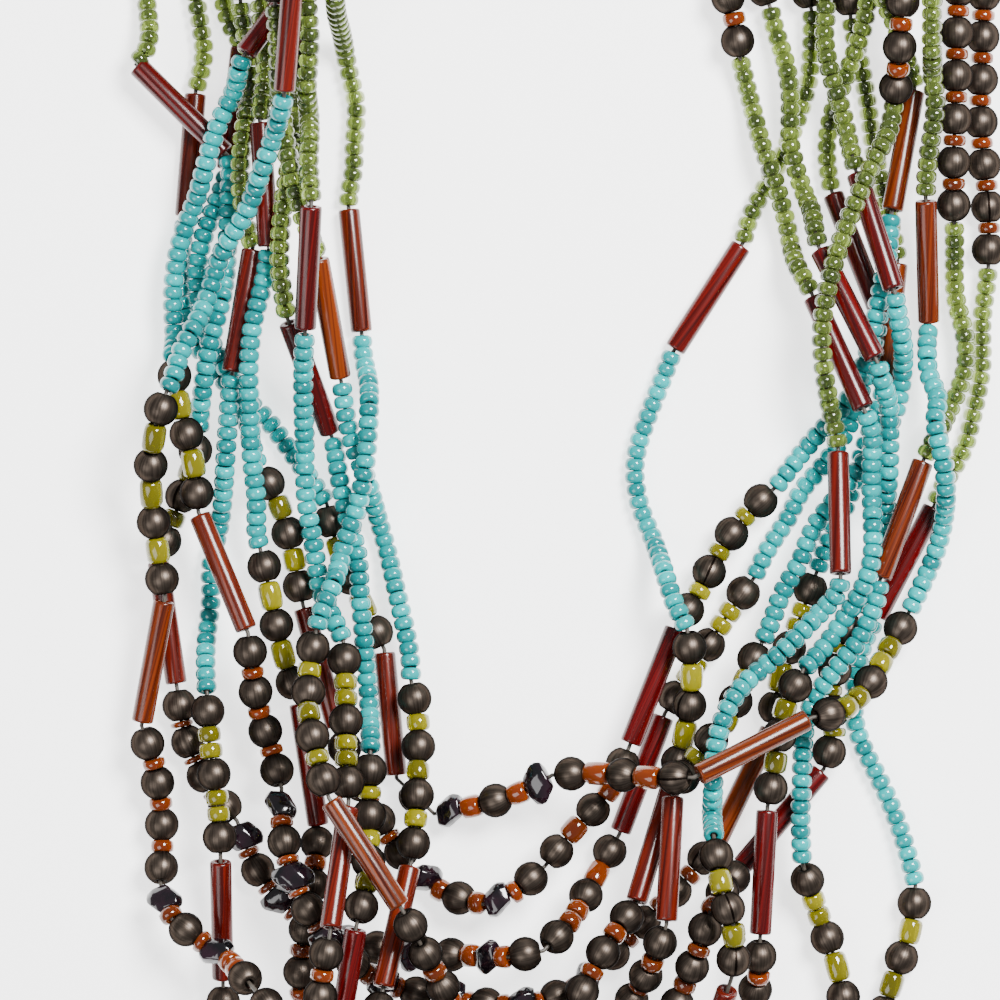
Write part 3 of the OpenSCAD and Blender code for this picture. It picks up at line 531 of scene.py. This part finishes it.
for k in range(1, STRINGS + 1):
    line = np.array([spot(k, s) for s in thread_cuts(k)]) * MM
    along = np.gradient(line, axis=0)
    along /= np.linalg.norm(along, axis=1)[:, None]
    side = np.cross((0, 0, 1), along)
    side /= np.linalg.norm(side, axis=1)[:, None]
    up = np.cross(along, side)
    angles = np.arange(THREAD_SIDES) * 2 * math.pi / THREAD_SIDES
    around = np.cos(angles)[None, :, None] * side[:, None] + np.sin(angles)[None, :, None] * up[:, None]
    corners = (line[:, None] + THREAD_R * MM * around).reshape(-1, 3)
    n = len(line)
    faces = [tuple(range(THREAD_SIDES))[::-1], tuple(range((n - 1) * THREAD_SIDES, n * THREAD_SIDES))]
    for i in range(n - 1):
        for j in range(THREAD_SIDES):
            a, b = i * THREAD_SIDES + j, i * THREAD_SIDES + (j + 1) % THREAD_SIDES
            faces.append((a, b, b + THREAD_SIDES, a + THREAD_SIDES))
    mesh = bpy.data.meshes.new(f"thread_{k}")
    mesh.from_pydata(corners.tolist(), [], faces)
    mesh.shade_smooth()
    finish_piece(f"thread_{k}", mesh, thread_material, f"string_{k}")

# Green seed beads. Small donuts of clear lustred glass, some duller and more olive than others, threaded
# close together from the upper bugles to the back and next to the clasp.
SEED_PITCH, SEED_LEN, SEED_BULGE = 2.16, 2.12, 3.6
SEED_SIDES = 12
GREEN_DRAW = 100
# The rim colour of the green glass is painted sheen: a paler green mixed in where the bead turns away from
# view.
GREEN_LIGHT, GREEN_DARK, GREEN_PAINTED_SHEEN = (0.23, 0.32, 0.05, 1), (0.06, 0.095, 0.015, 1), (0.42, 0.50, 0.18, 1)
GLASS_IOR = 1.52
LUSTRE, LUSTRE_ROUGHNESS = 0.3, 0.04
EVEN_TONES = 1.0
# A profile goes round the glass as (share of the length, share of the outer radius).
SEED_PROFILE = ((0.0, 0.36), (0.47, 0.38), (0.5, 0.56), (0.46, 0.76), (0.32, 0.92), (0.12, 0.99),
                (-0.12, 0.99), (-0.32, 0.92), (-0.46, 0.76), (-0.5, 0.56), (-0.47, 0.38))


def lathe(profile, radius, length, sides, flute=0.0):
    """Corners, faces and texture corners of a drilled bead turned about its thread."""
    corners, faces, cloth = [], [], []
    n = len(profile)
    for j in range(sides):
        angle = 2 * math.pi * j / sides
        dip = 1 - flute * (j % 2)
        for share, reach in profile:
            r = radius * reach * (dip if reach > 0.5 else 1)
            corners.append((r * math.cos(angle), r * math.sin(angle), length * share))
    for j in range(sides):
        for i in range(n):
            a, b = j * n + i, j * n + (i + 1) % n
            c, d = (j + 1) % sides * n + i, (j + 1) % sides * n + (i + 1) % n
            faces.append((a, b, d, c))
            cloth += [(j / sides, i / n), (j / sides, (i + 1) / n),
                      ((j + 1) / sides, (i + 1) / n), ((j + 1) / sides, i / n)]
    return np.array(corners), faces, np.array(cloth)


def string_up(name, shape, seats, seed):
    """One mesh of many beads of one lathed shape, each on a seat of (place, direction, stretch)."""
    chance = np.random.default_rng(seed)
    corners, faces, cloth, tone, count = [], [], [], [], 0
    points, sides, texture = shape
    for place, along, stretch in seats:
        turn = chance.uniform(0, 2 * math.pi)
        across = np.cross((0, 0, 1), along)
        across /= np.linalg.norm(across)
        up = np.cross(along, across)
        x = np.cos(turn) * across + np.sin(turn) * up
        y = np.cross(along, x)
        placed = place + points[:, :1] * x + points[:, 1:2] * y + points[:, 2:] * stretch * along
        corners.append(placed * MM)
        faces += [tuple(i + count for i in face) for face in sides]
        cloth.append(texture)
        tone.append(np.full(len(points), chance.uniform(0, 1)))
        count += len(points)
    mesh = bpy.data.meshes.new(name)
    mesh.from_pydata(np.vstack(corners).tolist(), [], faces)
    mesh.shade_smooth()
    mesh.uv_layers.new(name="bead").data.foreach_set("uv", np.vstack(cloth).ravel())
    mesh.attributes.new("tone", "FLOAT", "POINT").data.foreach_set("value", np.concatenate(tone))
    return mesh


def build_tone_group():
    """Node group that shifts a bead's colour by its own chance number: Light, Dark, Share in, Color out."""
    group = bpy.data.node_groups.new("bead_tone", "ShaderNodeTree")
    for name, kind, way in (("Light", "NodeSocketColor", "INPUT"), ("Dark", "NodeSocketColor", "INPUT"),
                            ("Share", "NodeSocketFloat", "INPUT"), ("Color", "NodeSocketColor", "OUTPUT")):
        group.interface.new_socket(name=name, in_out=way, socket_type=kind)
    nodes, links = group.nodes, group.links
    entry, leave = nodes.new("NodeGroupInput"), nodes.new("NodeGroupOutput")
    tone = nodes.new("ShaderNodeAttribute")
    tone.attribute_name = "tone"
    lean = nodes.new("ShaderNodeMath")
    lean.operation = "POWER"
    mix = nodes.new("ShaderNodeMix")
    mix.data_type = "RGBA"
    links.new(tone.outputs["Fac"], lean.inputs[0])
    links.new(entry.outputs["Share"], lean.inputs[1])
    links.new(lean.outputs[0], mix.inputs["Factor"])
    links.new(entry.outputs["Light"], mix.inputs["A"])
    links.new(entry.outputs["Dark"], mix.inputs["B"])
    links.new(mix.outputs["Result"], leave.inputs["Color"])
    return group


tone_group = build_tone_group()


def glass_bead_material(name, light, dark, painted_rim_colour, roughness, clear, painted_rim_blend):
    """Glass of a bead: tone by chance, and a colour painted in at grazing angles, as painted sheen where it
    is paler and painted shade where it is darker.
    """
    material, tree, shader = plain_material(name, light, roughness)
    tone = tree.nodes.new("ShaderNodeGroup")
    tone.node_tree = tone_group
    tone.inputs["Light"].default_value = light
    tone.inputs["Dark"].default_value = dark
    tone.inputs["Share"].default_value = EVEN_TONES
    # Painted light at the rims: the rim colour is mixed in where the surface turns away from view, as
    # painted sheen where it is paler than the glass and as painted shade where it is darker.
    painted_rim_mask = tree.nodes.new("ShaderNodeLayerWeight")
    painted_rim_mask.inputs["Blend"].default_value = painted_rim_blend
    mix = tree.nodes.new("ShaderNodeMix")
    mix.data_type = "RGBA"
    tree.links.new(painted_rim_mask.outputs["Facing"], mix.inputs["Factor"])
    tree.links.new(tone.outputs["Color"], mix.inputs["A"])
    mix.inputs["B"].default_value = painted_rim_colour
    tree.links.new(mix.outputs["Result"], shader.inputs["Base Color"])
    shader.inputs["Transmission Weight"].default_value = clear
    shader.inputs["IOR"].default_value = GLASS_IOR
    shader.inputs["Coat Weight"].default_value = LUSTRE
    shader.inputs["Coat Roughness"].default_value = LUSTRE_ROUGHNESS
    return material


def seed_seats(k, kind):
    """Seats of the seed beads of one colour on a string, spaced by the true length of its thread."""
    seats = []
    for part, a, b in PARTS[k - 1]:
        if part != kind:
            continue
        s, way = true_lengths(k, a, b)
        n = max(1, whole(way[-1] / SEED_PITCH))
        ends = [spot(k, q) for q in np.interp(np.linspace(0, way[-1], n + 1), way, s)]
        for low, high in zip(ends[:-1], ends[1:]):
            seats.append(((low + high) / 2, (high - low) / np.linalg.norm(high - low), 1.0))
    return seats


seed_shape = lathe(SEED_PROFILE, SEED_BULGE / 2, SEED_LEN, SEED_SIDES)
green_glass = glass_bead_material("green_lustre_glass", GREEN_LIGHT, GREEN_DARK, GREEN_PAINTED_SHEEN,
                                  roughness=0.04, clear=0.70, painted_rim_blend=0.15)
for k in range(1, STRINGS + 1):
    mesh = string_up(f"green_seeds_{k}", seed_shape, seed_seats(k, GR), GREEN_DRAW + k)
    finish_piece(f"green_seeds_{k}", mesh, green_glass, f"string_{k}")

# Turquoise seed beads. The same donuts in opaque glossy glass, threaded between the upper bugles and the
# round beads with yellow glass.
TURQUOISE_DRAW = 200
TURQUOISE_LIGHT, TURQUOISE_DARK = (0.001, 0.40, 0.40, 1), (0.0005, 0.15, 0.155, 1)
# The rim colour of the turquoise glass is painted shade: a darker turquoise mixed in where the bead turns
# away from view.
TURQUOISE_PAINTED_RIM_SHADE = (0.001, 0.16, 0.17, 1)
turquoise_glass = glass_bead_material("turquoise_glass", TURQUOISE_LIGHT, TURQUOISE_DARK, TURQUOISE_PAINTED_RIM_SHADE,
                                      roughness=0.10, clear=0.0, painted_rim_blend=0.2)
for k in range(1, STRINGS + 1):
    mesh = string_up(f"turquoise_seeds_{k}", seed_shape, seed_seats(k, TU), TURQUOISE_DRAW + k)
    finish_piece(f"turquoise_seeds_{k}", mesh, turquoise_glass, f"string_{k}")

# Round beads. Hollow bronze-coloured metal, brushed from hole to hole, with flat ends where they are
# drilled. They alternate with glass spacers, and fill the hidden back of each string.
ROUND_SIDES = 20
HOLE_R = 0.8
ROUND_STEPS = 9
HOLE_END = 0.49
ROUND_DRAW, BACK_DRAW = 300, 350
BRONZE_COLOUR, BRONZE_TINT = (0.2, 0.14, 0.11, 1), (0.20, 0.16, 0.13, 1)
BRUSHED_DARK, BRUSHED_LIGHT = (0.046, 0.036, 0.029, 1), (0.088, 0.069, 0.056, 1)
# The bronze rim colour is painted shade: a near-black colour mixed in where a round bead turns away from
# view.
SEAM_COLOUR, BRONZE_PAINTED_RIM_SHADE = (0.006, 0.004, 0.003, 1), (0.010, 0.008, 0.007, 1)
BRUSH_LINES, LINE_DETAIL, LINE_SHIFT = 60.0, 3.0, 50.0
BRUSH_DEPTH, BRUSH_STRENGTH = 0.0002, 0.1


def round_profile():
    """A round bead's outline from hole to hole, with points closer together near its flat ends."""
    half = ROUND_LEN / 2
    outer = []
    for i in range(ROUND_STEPS + 1):
        z = half * math.sin(math.pi / 2 * (2 * i / ROUND_STEPS - 1))
        outer.append((z / ROUND_LEN, math.sqrt((ROUND_D / 2) ** 2 - z * z) / (ROUND_D / 2)))
    hole = HOLE_R / (ROUND_D / 2)
    return [(-HOLE_END, hole)] + outer + [(HOLE_END, hole)]


def build_line_group():
    """Node group of fine lines from hole to hole of a bead: Count and Twist in, Lines out."""
    group = bpy.data.node_groups.new("brushed_lines", "ShaderNodeTree")
    for name, way in (("Count", "INPUT"), ("Twist", "INPUT"), ("Lines", "OUTPUT")):
        group.interface.new_socket(name=name, in_out=way, socket_type="NodeSocketFloat")
    nodes, links = group.nodes, group.links
    entry, leave = nodes.new("NodeGroupInput"), nodes.new("NodeGroupOutput")
    place = nodes.new("ShaderNodeUVMap")
    place.uv_map = "bead"
    parts = nodes.new("ShaderNodeSeparateXYZ")
    tone = nodes.new("ShaderNodeAttribute")
    tone.attribute_name = "tone"
    wind = nodes.new("ShaderNodeMath")
    wind.operation = "MULTIPLY_ADD"
    wide = nodes.new("ShaderNodeMath")
    wide.operation = "MULTIPLY"
    join = nodes.new("ShaderNodeCombineXYZ")
    noise = nodes.new("ShaderNodeTexNoise")
    noise.inputs["Scale"].default_value = 1.0
    noise.inputs["Detail"].default_value = LINE_DETAIL
    links.new(place.outputs["UV"], parts.inputs[0])
    links.new(parts.outputs["Y"], wind.inputs[0])
    links.new(entry.outputs["Twist"], wind.inputs[1])
    links.new(parts.outputs["X"], wind.inputs[2])
    links.new(wind.outputs[0], wide.inputs[0])
    links.new(entry.outputs["Count"], wide.inputs[1])
    links.new(wide.outputs[0], join.inputs["X"])
    links.new(parts.outputs["Y"], join.inputs["Y"])
    far = nodes.new("ShaderNodeMath")
    far.operation = "MULTIPLY"
    far.inputs[1].default_value = LINE_SHIFT
    links.new(tone.outputs["Fac"], far.inputs[0])
    links.new(far.outputs[0], join.inputs["Z"])
    links.new(join.outputs[0], noise.inputs["Vector"])
    links.new(noise.outputs["Fac"], leave.inputs["Lines"])
    return group


line_group = build_line_group()
SEAM_PLACE, SEAM_WIDTH, SEAM_SHARE = 0.5, 0.012, 0.45


def build_seam_group():
    """Node group of the dark seam that some beads show where the metal was closed."""
    group = bpy.data.node_groups.new("bead_seam", "ShaderNodeTree")
    for name, way in (("Metal", "INPUT"), ("Dark", "INPUT"), ("Color", "OUTPUT")):
        group.interface.new_socket(name=name, in_out=way, socket_type="NodeSocketColor")
    nodes, links = group.nodes, group.links
    entry, leave = nodes.new("NodeGroupInput"), nodes.new("NodeGroupOutput")
    place = nodes.new("ShaderNodeUVMap")
    place.uv_map = "bead"
    parts = nodes.new("ShaderNodeSeparateXYZ")
    near = nodes.new("ShaderNodeMath")
    near.operation = "COMPARE"
    near.inputs[1].default_value = SEAM_PLACE
    near.inputs[2].default_value = SEAM_WIDTH
    tone = nodes.new("ShaderNodeAttribute")
    tone.attribute_name = "tone"
    some = nodes.new("ShaderNodeMath")
    some.operation = "LESS_THAN"
    some.inputs[1].default_value = SEAM_SHARE
    both = nodes.new("ShaderNodeMath")
    both.operation = "MULTIPLY"
    mix = nodes.new("ShaderNodeMix")
    mix.data_type = "RGBA"
    links.new(place.outputs["UV"], parts.inputs[0])
    links.new(parts.outputs["X"], near.inputs[0])
    links.new(tone.outputs["Fac"], some.inputs[0])
    links.new(near.outputs[0], both.inputs[0])
    links.new(some.outputs[0], both.inputs[1])
    links.new(both.outputs[0], mix.inputs["Factor"])
    links.new(entry.outputs["Metal"], mix.inputs["A"])
    links.new(entry.outputs["Dark"], mix.inputs["B"])
    links.new(mix.outputs["Result"], leave.inputs["Color"])
    return group


seam_group = build_seam_group()


def bronze_material():
    """Dark bronze with brushed lines, a seam on some beads, and painted shade where it turns away from
    view.
    """
    material, tree, shader = plain_material("brushed_bronze", BRONZE_COLOUR, 0.40, 0.9)
    shader.inputs["Specular Tint"].default_value = BRONZE_TINT
    lines = tree.nodes.new("ShaderNodeGroup")
    lines.node_tree = line_group
    lines.inputs["Count"].default_value = BRUSH_LINES
    ramp = tree.nodes.new("ShaderNodeValToRGB")
    ramp.color_ramp.elements[0].position = 0.34
    ramp.color_ramp.elements[0].color = BRUSHED_DARK
    ramp.color_ramp.elements[1].position = 0.62
    ramp.color_ramp.elements[1].color = BRUSHED_LIGHT
    bump = tree.nodes.new("ShaderNodeBump")
    bump.inputs["Strength"].default_value = BRUSH_STRENGTH
    bump.inputs["Distance"].default_value = BRUSH_DEPTH
    seam = tree.nodes.new("ShaderNodeGroup")
    seam.node_tree = seam_group
    seam.inputs["Dark"].default_value = SEAM_COLOUR
    # Painted shade: a near-black colour is mixed in where the bead turns away from view, so its rim looks
    # darker.
    painted_rim_mask = tree.nodes.new("ShaderNodeLayerWeight")
    painted_rim_mask.inputs["Blend"].default_value = 0.42
    shade = tree.nodes.new("ShaderNodeMix")
    shade.data_type = "RGBA"
    shade.inputs["B"].default_value = BRONZE_PAINTED_RIM_SHADE
    tree.links.new(lines.outputs["Lines"], ramp.inputs["Fac"])
    tree.links.new(ramp.outputs["Color"], seam.inputs["Metal"])
    tree.links.new(seam.outputs["Color"], shade.inputs["A"])
    tree.links.new(painted_rim_mask.outputs["Facing"], shade.inputs["Factor"])
    tree.links.new(shade.outputs["Result"], shader.inputs["Base Color"])
    tree.links.new(lines.outputs["Lines"], bump.inputs["Height"])
    tree.links.new(bump.outputs["Normal"], shader.inputs["Normal"])
    return material


bronze = bronze_material()
round_shape = lathe(round_profile(), ROUND_D / 2, ROUND_LEN, ROUND_SIDES)
for k in range(1, STRINGS + 1):
    for name, node, slot, on_string, draw in (
            ("round_beads", "beads", "mixed_beads", False, ROUND_DRAW),
            ("back_round_beads", "string", "glass_beads", True, BACK_DRAW)):
        seats = []
        for j, part in enumerate(PARTS[k - 1]):
            if thick(k, j) == on_string:
                seats += [(*seat(k, bead), 1.0) for bead in large_beads(k, j) if bead[0] in (BY, BO)]
        if seats:
            mesh = string_up(f"{name}_{k}", round_shape, seats, draw + k)
            finish_piece(f"{name}_{k}", mesh, bronze, f"{node}_{k}")

# Glass spacers. Fluted beads of clear glass sit between round beads, yellow above the lower bugles and
# orange below them and at the back. Orange ones also sit beside chips.
SPACER_D = 4.1
SPACER_SIDES = 14
SPACER_FLUTE = 0.06
SPACER_GAP = 0.12
SPACER_MOST, SPACER_LEAST = 3.6, 1.0
YELLOW_DRAW, ORANGE_DRAW = 400, 450
SPACER_PROFILE = ((0.0, 0.40), (0.47, 0.40), (0.5, 0.60), (0.46, 0.82), (0.34, 0.96), (0.0, 1.0),
                  (-0.34, 0.96), (-0.46, 0.82), (-0.5, 0.60), (-0.47, 0.40))
YELLOW_LIGHT, YELLOW_DARK = (0.34, 0.30, 0.003, 1), (0.11, 0.097, 0.002, 1)
# The rim colour of the yellow glass is painted sheen: a paler, greyer yellow mixed in where the bead turns
# away from view.
YELLOW_PAINTED_SHEEN = (0.32, 0.30, 0.02, 1)
ORANGE_LIGHT, ORANGE_DARK = (0.21, 0.028, 0.0006, 1), (0.08, 0.010, 0.0005, 1)
# The rim colour of the orange glass is painted sheen: a brighter orange mixed in where the bead turns away
# from view.
ORANGE_PAINTED_SHEEN = (0.34, 0.070, 0.002, 1)


def bead_end(k, bead, way):
    """Middle of the flat end of a round bead or chip: the far end with way 1 and the near end with -1."""
    place, along = seat(k, bead)
    return place + (CHIP_T if bead[0] == CH else ROUND_LEN) / 2 * way * along


yellow_glass = glass_bead_material("yellow_glass", YELLOW_LIGHT, YELLOW_DARK, YELLOW_PAINTED_SHEEN,
                                   roughness=0.05, clear=0.45, painted_rim_blend=0.15)
orange_glass = glass_bead_material("orange_glass", ORANGE_LIGHT, ORANGE_DARK, ORANGE_PAINTED_SHEEN,
                                   roughness=0.05, clear=0.35, painted_rim_blend=0.30)
spacer_shape = lathe(SPACER_PROFILE, SPACER_D / 2, 1.0, SPACER_SIDES, SPACER_FLUTE)
for k in range(1, STRINGS + 1):
    for name, kinds, material, draw in (("yellow_beads", (BY,), yellow_glass, YELLOW_DRAW),
                                        ("orange_beads", (BO, CH), orange_glass, ORANGE_DRAW)):
        seats = []
        for j, part in enumerate(PARTS[k - 1]):
            beads = large_beads(k, j) if part[0] in kinds else []
            for one, other in zip(beads[:-1], beads[1:]):
                start, end = bead_end(k, one, 1), bead_end(k, other, -1)
                room = np.linalg.norm(end - start)
                n = max(1, whole(room / SPACER_MOST)) if room > SPACER_LEAST else 0
                for i in range(n):
                    seats.append((start + (end - start) * (i + 0.5) / n, (end - start) / room,
                                  room / n - 2 * SPACER_GAP))
        if seats:
            mesh = string_up(f"{name}_{k}", spacer_shape, seats, draw + k)
            finish_piece(f"{name}_{k}", mesh, material, f"string_{k}")

# Bugle beads. Long straight tubes of red glass, streaked inside by a twisted lining, one above and one
# below the turquoise and round beads of each half string. Some are clearer and look orange.
BUGLE_SIDES = 24
BUGLE_PROFILE = ((0.0, 0.46), (0.498, 0.46), (0.5, 0.60), (0.5, 0.84), (0.496, 0.94), (0.488, 0.985),
                 (0.476, 1.0), (0.0, 1.0), (-0.476, 1.0), (-0.488, 0.985), (-0.496, 0.94),
                 (-0.5, 0.84), (-0.5, 0.60), (-0.498, 0.46))
STREAKS, STREAK_TWIST = 26.0, 0.9
BUGLE_DRAW = 500
RED_COLOUR = (0.3, 0.01, 0.01, 1)
RED_BETWEEN, ORANGE_BETWEEN = (0.035, 0.0003, 0.0006, 1), (0.05, 0.005, 0.0006, 1)
RED_STREAK, ORANGE_STREAK = (0.13, 0.0012, 0.0022, 1), (0.22, 0.036, 0.002, 1)
FEW_ORANGE = 2.2


def bugle_material():
    """Red glass with streaks, where a few beads are more orange by chance."""
    material, tree, shader = plain_material("streaked_red_glass", RED_COLOUR, 0.22)
    lines = tree.nodes.new("ShaderNodeGroup")
    lines.node_tree = line_group
    lines.inputs["Count"].default_value = STREAKS
    lines.inputs["Twist"].default_value = STREAK_TWIST
    spread = tree.nodes.new("ShaderNodeMapRange")
    spread.inputs["From Min"].default_value = 0.36
    spread.inputs["From Max"].default_value = 0.64
    low, high = tree.nodes.new("ShaderNodeGroup"), tree.nodes.new("ShaderNodeGroup")
    for tone, light, dark in ((low, RED_BETWEEN, ORANGE_BETWEEN), (high, RED_STREAK, ORANGE_STREAK)):
        tone.node_tree = tone_group
        tone.inputs["Light"].default_value = light
        tone.inputs["Dark"].default_value = dark
        tone.inputs["Share"].default_value = FEW_ORANGE
    mix = tree.nodes.new("ShaderNodeMix")
    mix.data_type = "RGBA"
    tree.links.new(lines.outputs["Lines"], spread.inputs["Value"])
    tree.links.new(spread.outputs["Result"], mix.inputs["Factor"])
    tree.links.new(low.outputs["Color"], mix.inputs["A"])
    tree.links.new(high.outputs["Color"], mix.inputs["B"])
    tree.links.new(mix.outputs["Result"], shader.inputs["Base Color"])
    shader.inputs["Transmission Weight"].default_value = 0.25
    shader.inputs["Specular IOR Level"].default_value = 0.35
    shader.inputs["IOR"].default_value = GLASS_IOR
    return material


red_glass = bugle_material()
bugle_shape = lathe(BUGLE_PROFILE, BUGLE_D / 2, BUGLE_LEN, BUGLE_SIDES)
for k in range(1, STRINGS + 1):
    seats = [(*seat(k, bead), 1.0) for j, part in enumerate(PARTS[k - 1]) if part[0] == BU
             for bead in large_beads(k, j)]
    mesh = string_up(f"bugles_{k}", bugle_shape, seats, BUGLE_DRAW + k)
    finish_piece(f"bugles_{k}", mesh, red_glass, f"beads_{k}")

# Stone chips. Rough pieces of a dark purple stone, tumbled until their edges shine, drilled through and
# threaded with round beads at the front.
CHIP_ROWS = ((-0.5, 0.66, -0.14), (-0.18, 0.88, -0.1), (0.16, 0.86, 0.1), (0.5, 0.64, 0.16))
CHIP_REACH = (0.8, 1.0, 0.76, 0.84, 0.96, 0.72)
CHIP_BEVEL, CHIP_BEVEL_STEPS = 0.25, 3
STONE_COLOUR = (0.02, 0.012, 0.02, 1)
STONE_DARK, STONE_LIGHT = (0.002, 0.002, 0.003, 1), (0.016, 0.004, 0.010, 1)
CLOUD_SCALE, CLOUD_DETAIL = 240.0, 4.0


def chip_mesh(i, centre, along):
    """A chip's corners and faces, with its long side level as it lies."""
    n = len(CHIP_REACH)
    block = bmesh.new()
    theta, phi = math.acos(along[2]), math.atan2(along[1], along[0])
    x = np.array((math.cos(theta) * math.cos(phi), math.cos(theta) * math.sin(phi), -math.sin(theta)))
    y = np.array((-math.sin(phi), math.cos(phi), 0))
    rings = []
    for share, wide, lean in CHIP_ROWS:
        ring = []
        for j in range(n):
            reach = wide * CHIP_REACH[(j + i) % n]
            angle = 2 * math.pi * (j + 0.5) / n
            ring.append(block.verts.new((CHIP_H / 2 * reach * math.cos(angle),
                                         CHIP_W / 2 * (reach * math.sin(angle) + lean), CHIP_T * share)))
        rings.append(ring)
    for low, high in zip(rings[:-1], rings[1:]):
        for j in range(n):
            block.faces.new((low[j], low[(j + 1) % n], high[(j + 1) % n]))
            block.faces.new((low[j], high[(j + 1) % n], high[j]))
    block.faces.new(rings[0][::-1])
    block.faces.new(rings[-1])
    bmesh.ops.bevel(block, geom=block.edges[:] + block.verts[:], offset=CHIP_BEVEL,
                    segments=CHIP_BEVEL_STEPS, profile=0.5, affect="EDGES", clamp_overlap=True)
    block.verts.index_update()
    corners = np.array([v.co for v in block.verts])
    faces = [tuple(v.index for v in f.verts) for f in block.faces]
    block.free()
    return centre + corners[:, :1] * x + corners[:, 1:2] * y + corners[:, 2:] * along, faces


def stone_material():
    """Glossy stone, clouded from nearly black to dark purple."""
    material, tree, shader = plain_material("dark_stone", STONE_COLOUR, 0.12)
    cloud = tree.nodes.new("ShaderNodeTexNoise")
    cloud.inputs["Scale"].default_value = CLOUD_SCALE
    cloud.inputs["Detail"].default_value = CLOUD_DETAIL
    place = tree.nodes.new("ShaderNodeTexCoord")
    ramp = tree.nodes.new("ShaderNodeValToRGB")
    ramp.color_ramp.elements[0].position = 0.40
    ramp.color_ramp.elements[0].color = STONE_DARK
    ramp.color_ramp.elements[1].position = 0.75
    ramp.color_ramp.elements[1].color = STONE_LIGHT
    tree.links.new(place.outputs["Object"], cloud.inputs["Vector"])
    tree.links.new(cloud.outputs["Fac"], ramp.inputs["Fac"])
    tree.links.new(ramp.outputs["Color"], shader.inputs["Base Color"])
    shader.inputs["Coat Weight"].default_value = 0.5
    shader.inputs["Coat Roughness"].default_value = 0.05
    return material


stone = stone_material()
for k in range(1, STRINGS + 1):
    corners, faces, count = [], [], 0
    for j in range(len(PARTS[k - 1])):
        for i, bead in enumerate(large_beads(k, j)):
            if bead[0] != CH:
                continue
            points, sides = chip_mesh(i + k, *seat(k, bead))
            corners.append(points * MM)
            faces += [tuple(q + count for q in face) for face in sides]
            count += len(points)
    if not corners:
        continue
    mesh = bpy.data.meshes.new(f"stone_chips_{k}")
    mesh.from_pydata(np.vstack(corners).tolist(), [], faces)
    mesh.shade_smooth()
    finish_piece(f"stone_chips_{k}", mesh, stone, f"beads_{k}")

# The clasp. One plain bar of the same bronze colour at the back, to which both ends of every string lead.
# It keeps the shape that it has among the solids.
CLASP_COLOUR = (0.08, 0.064, 0.051, 1)
clasp_metal = plain_material("clasp_bronze", CLASP_COLOUR, 0.38, 0.9)[0]
clasp_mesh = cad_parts["clasp"].data
clasp_mesh.materials.clear()
clasp_mesh.materials.append(clasp_metal)
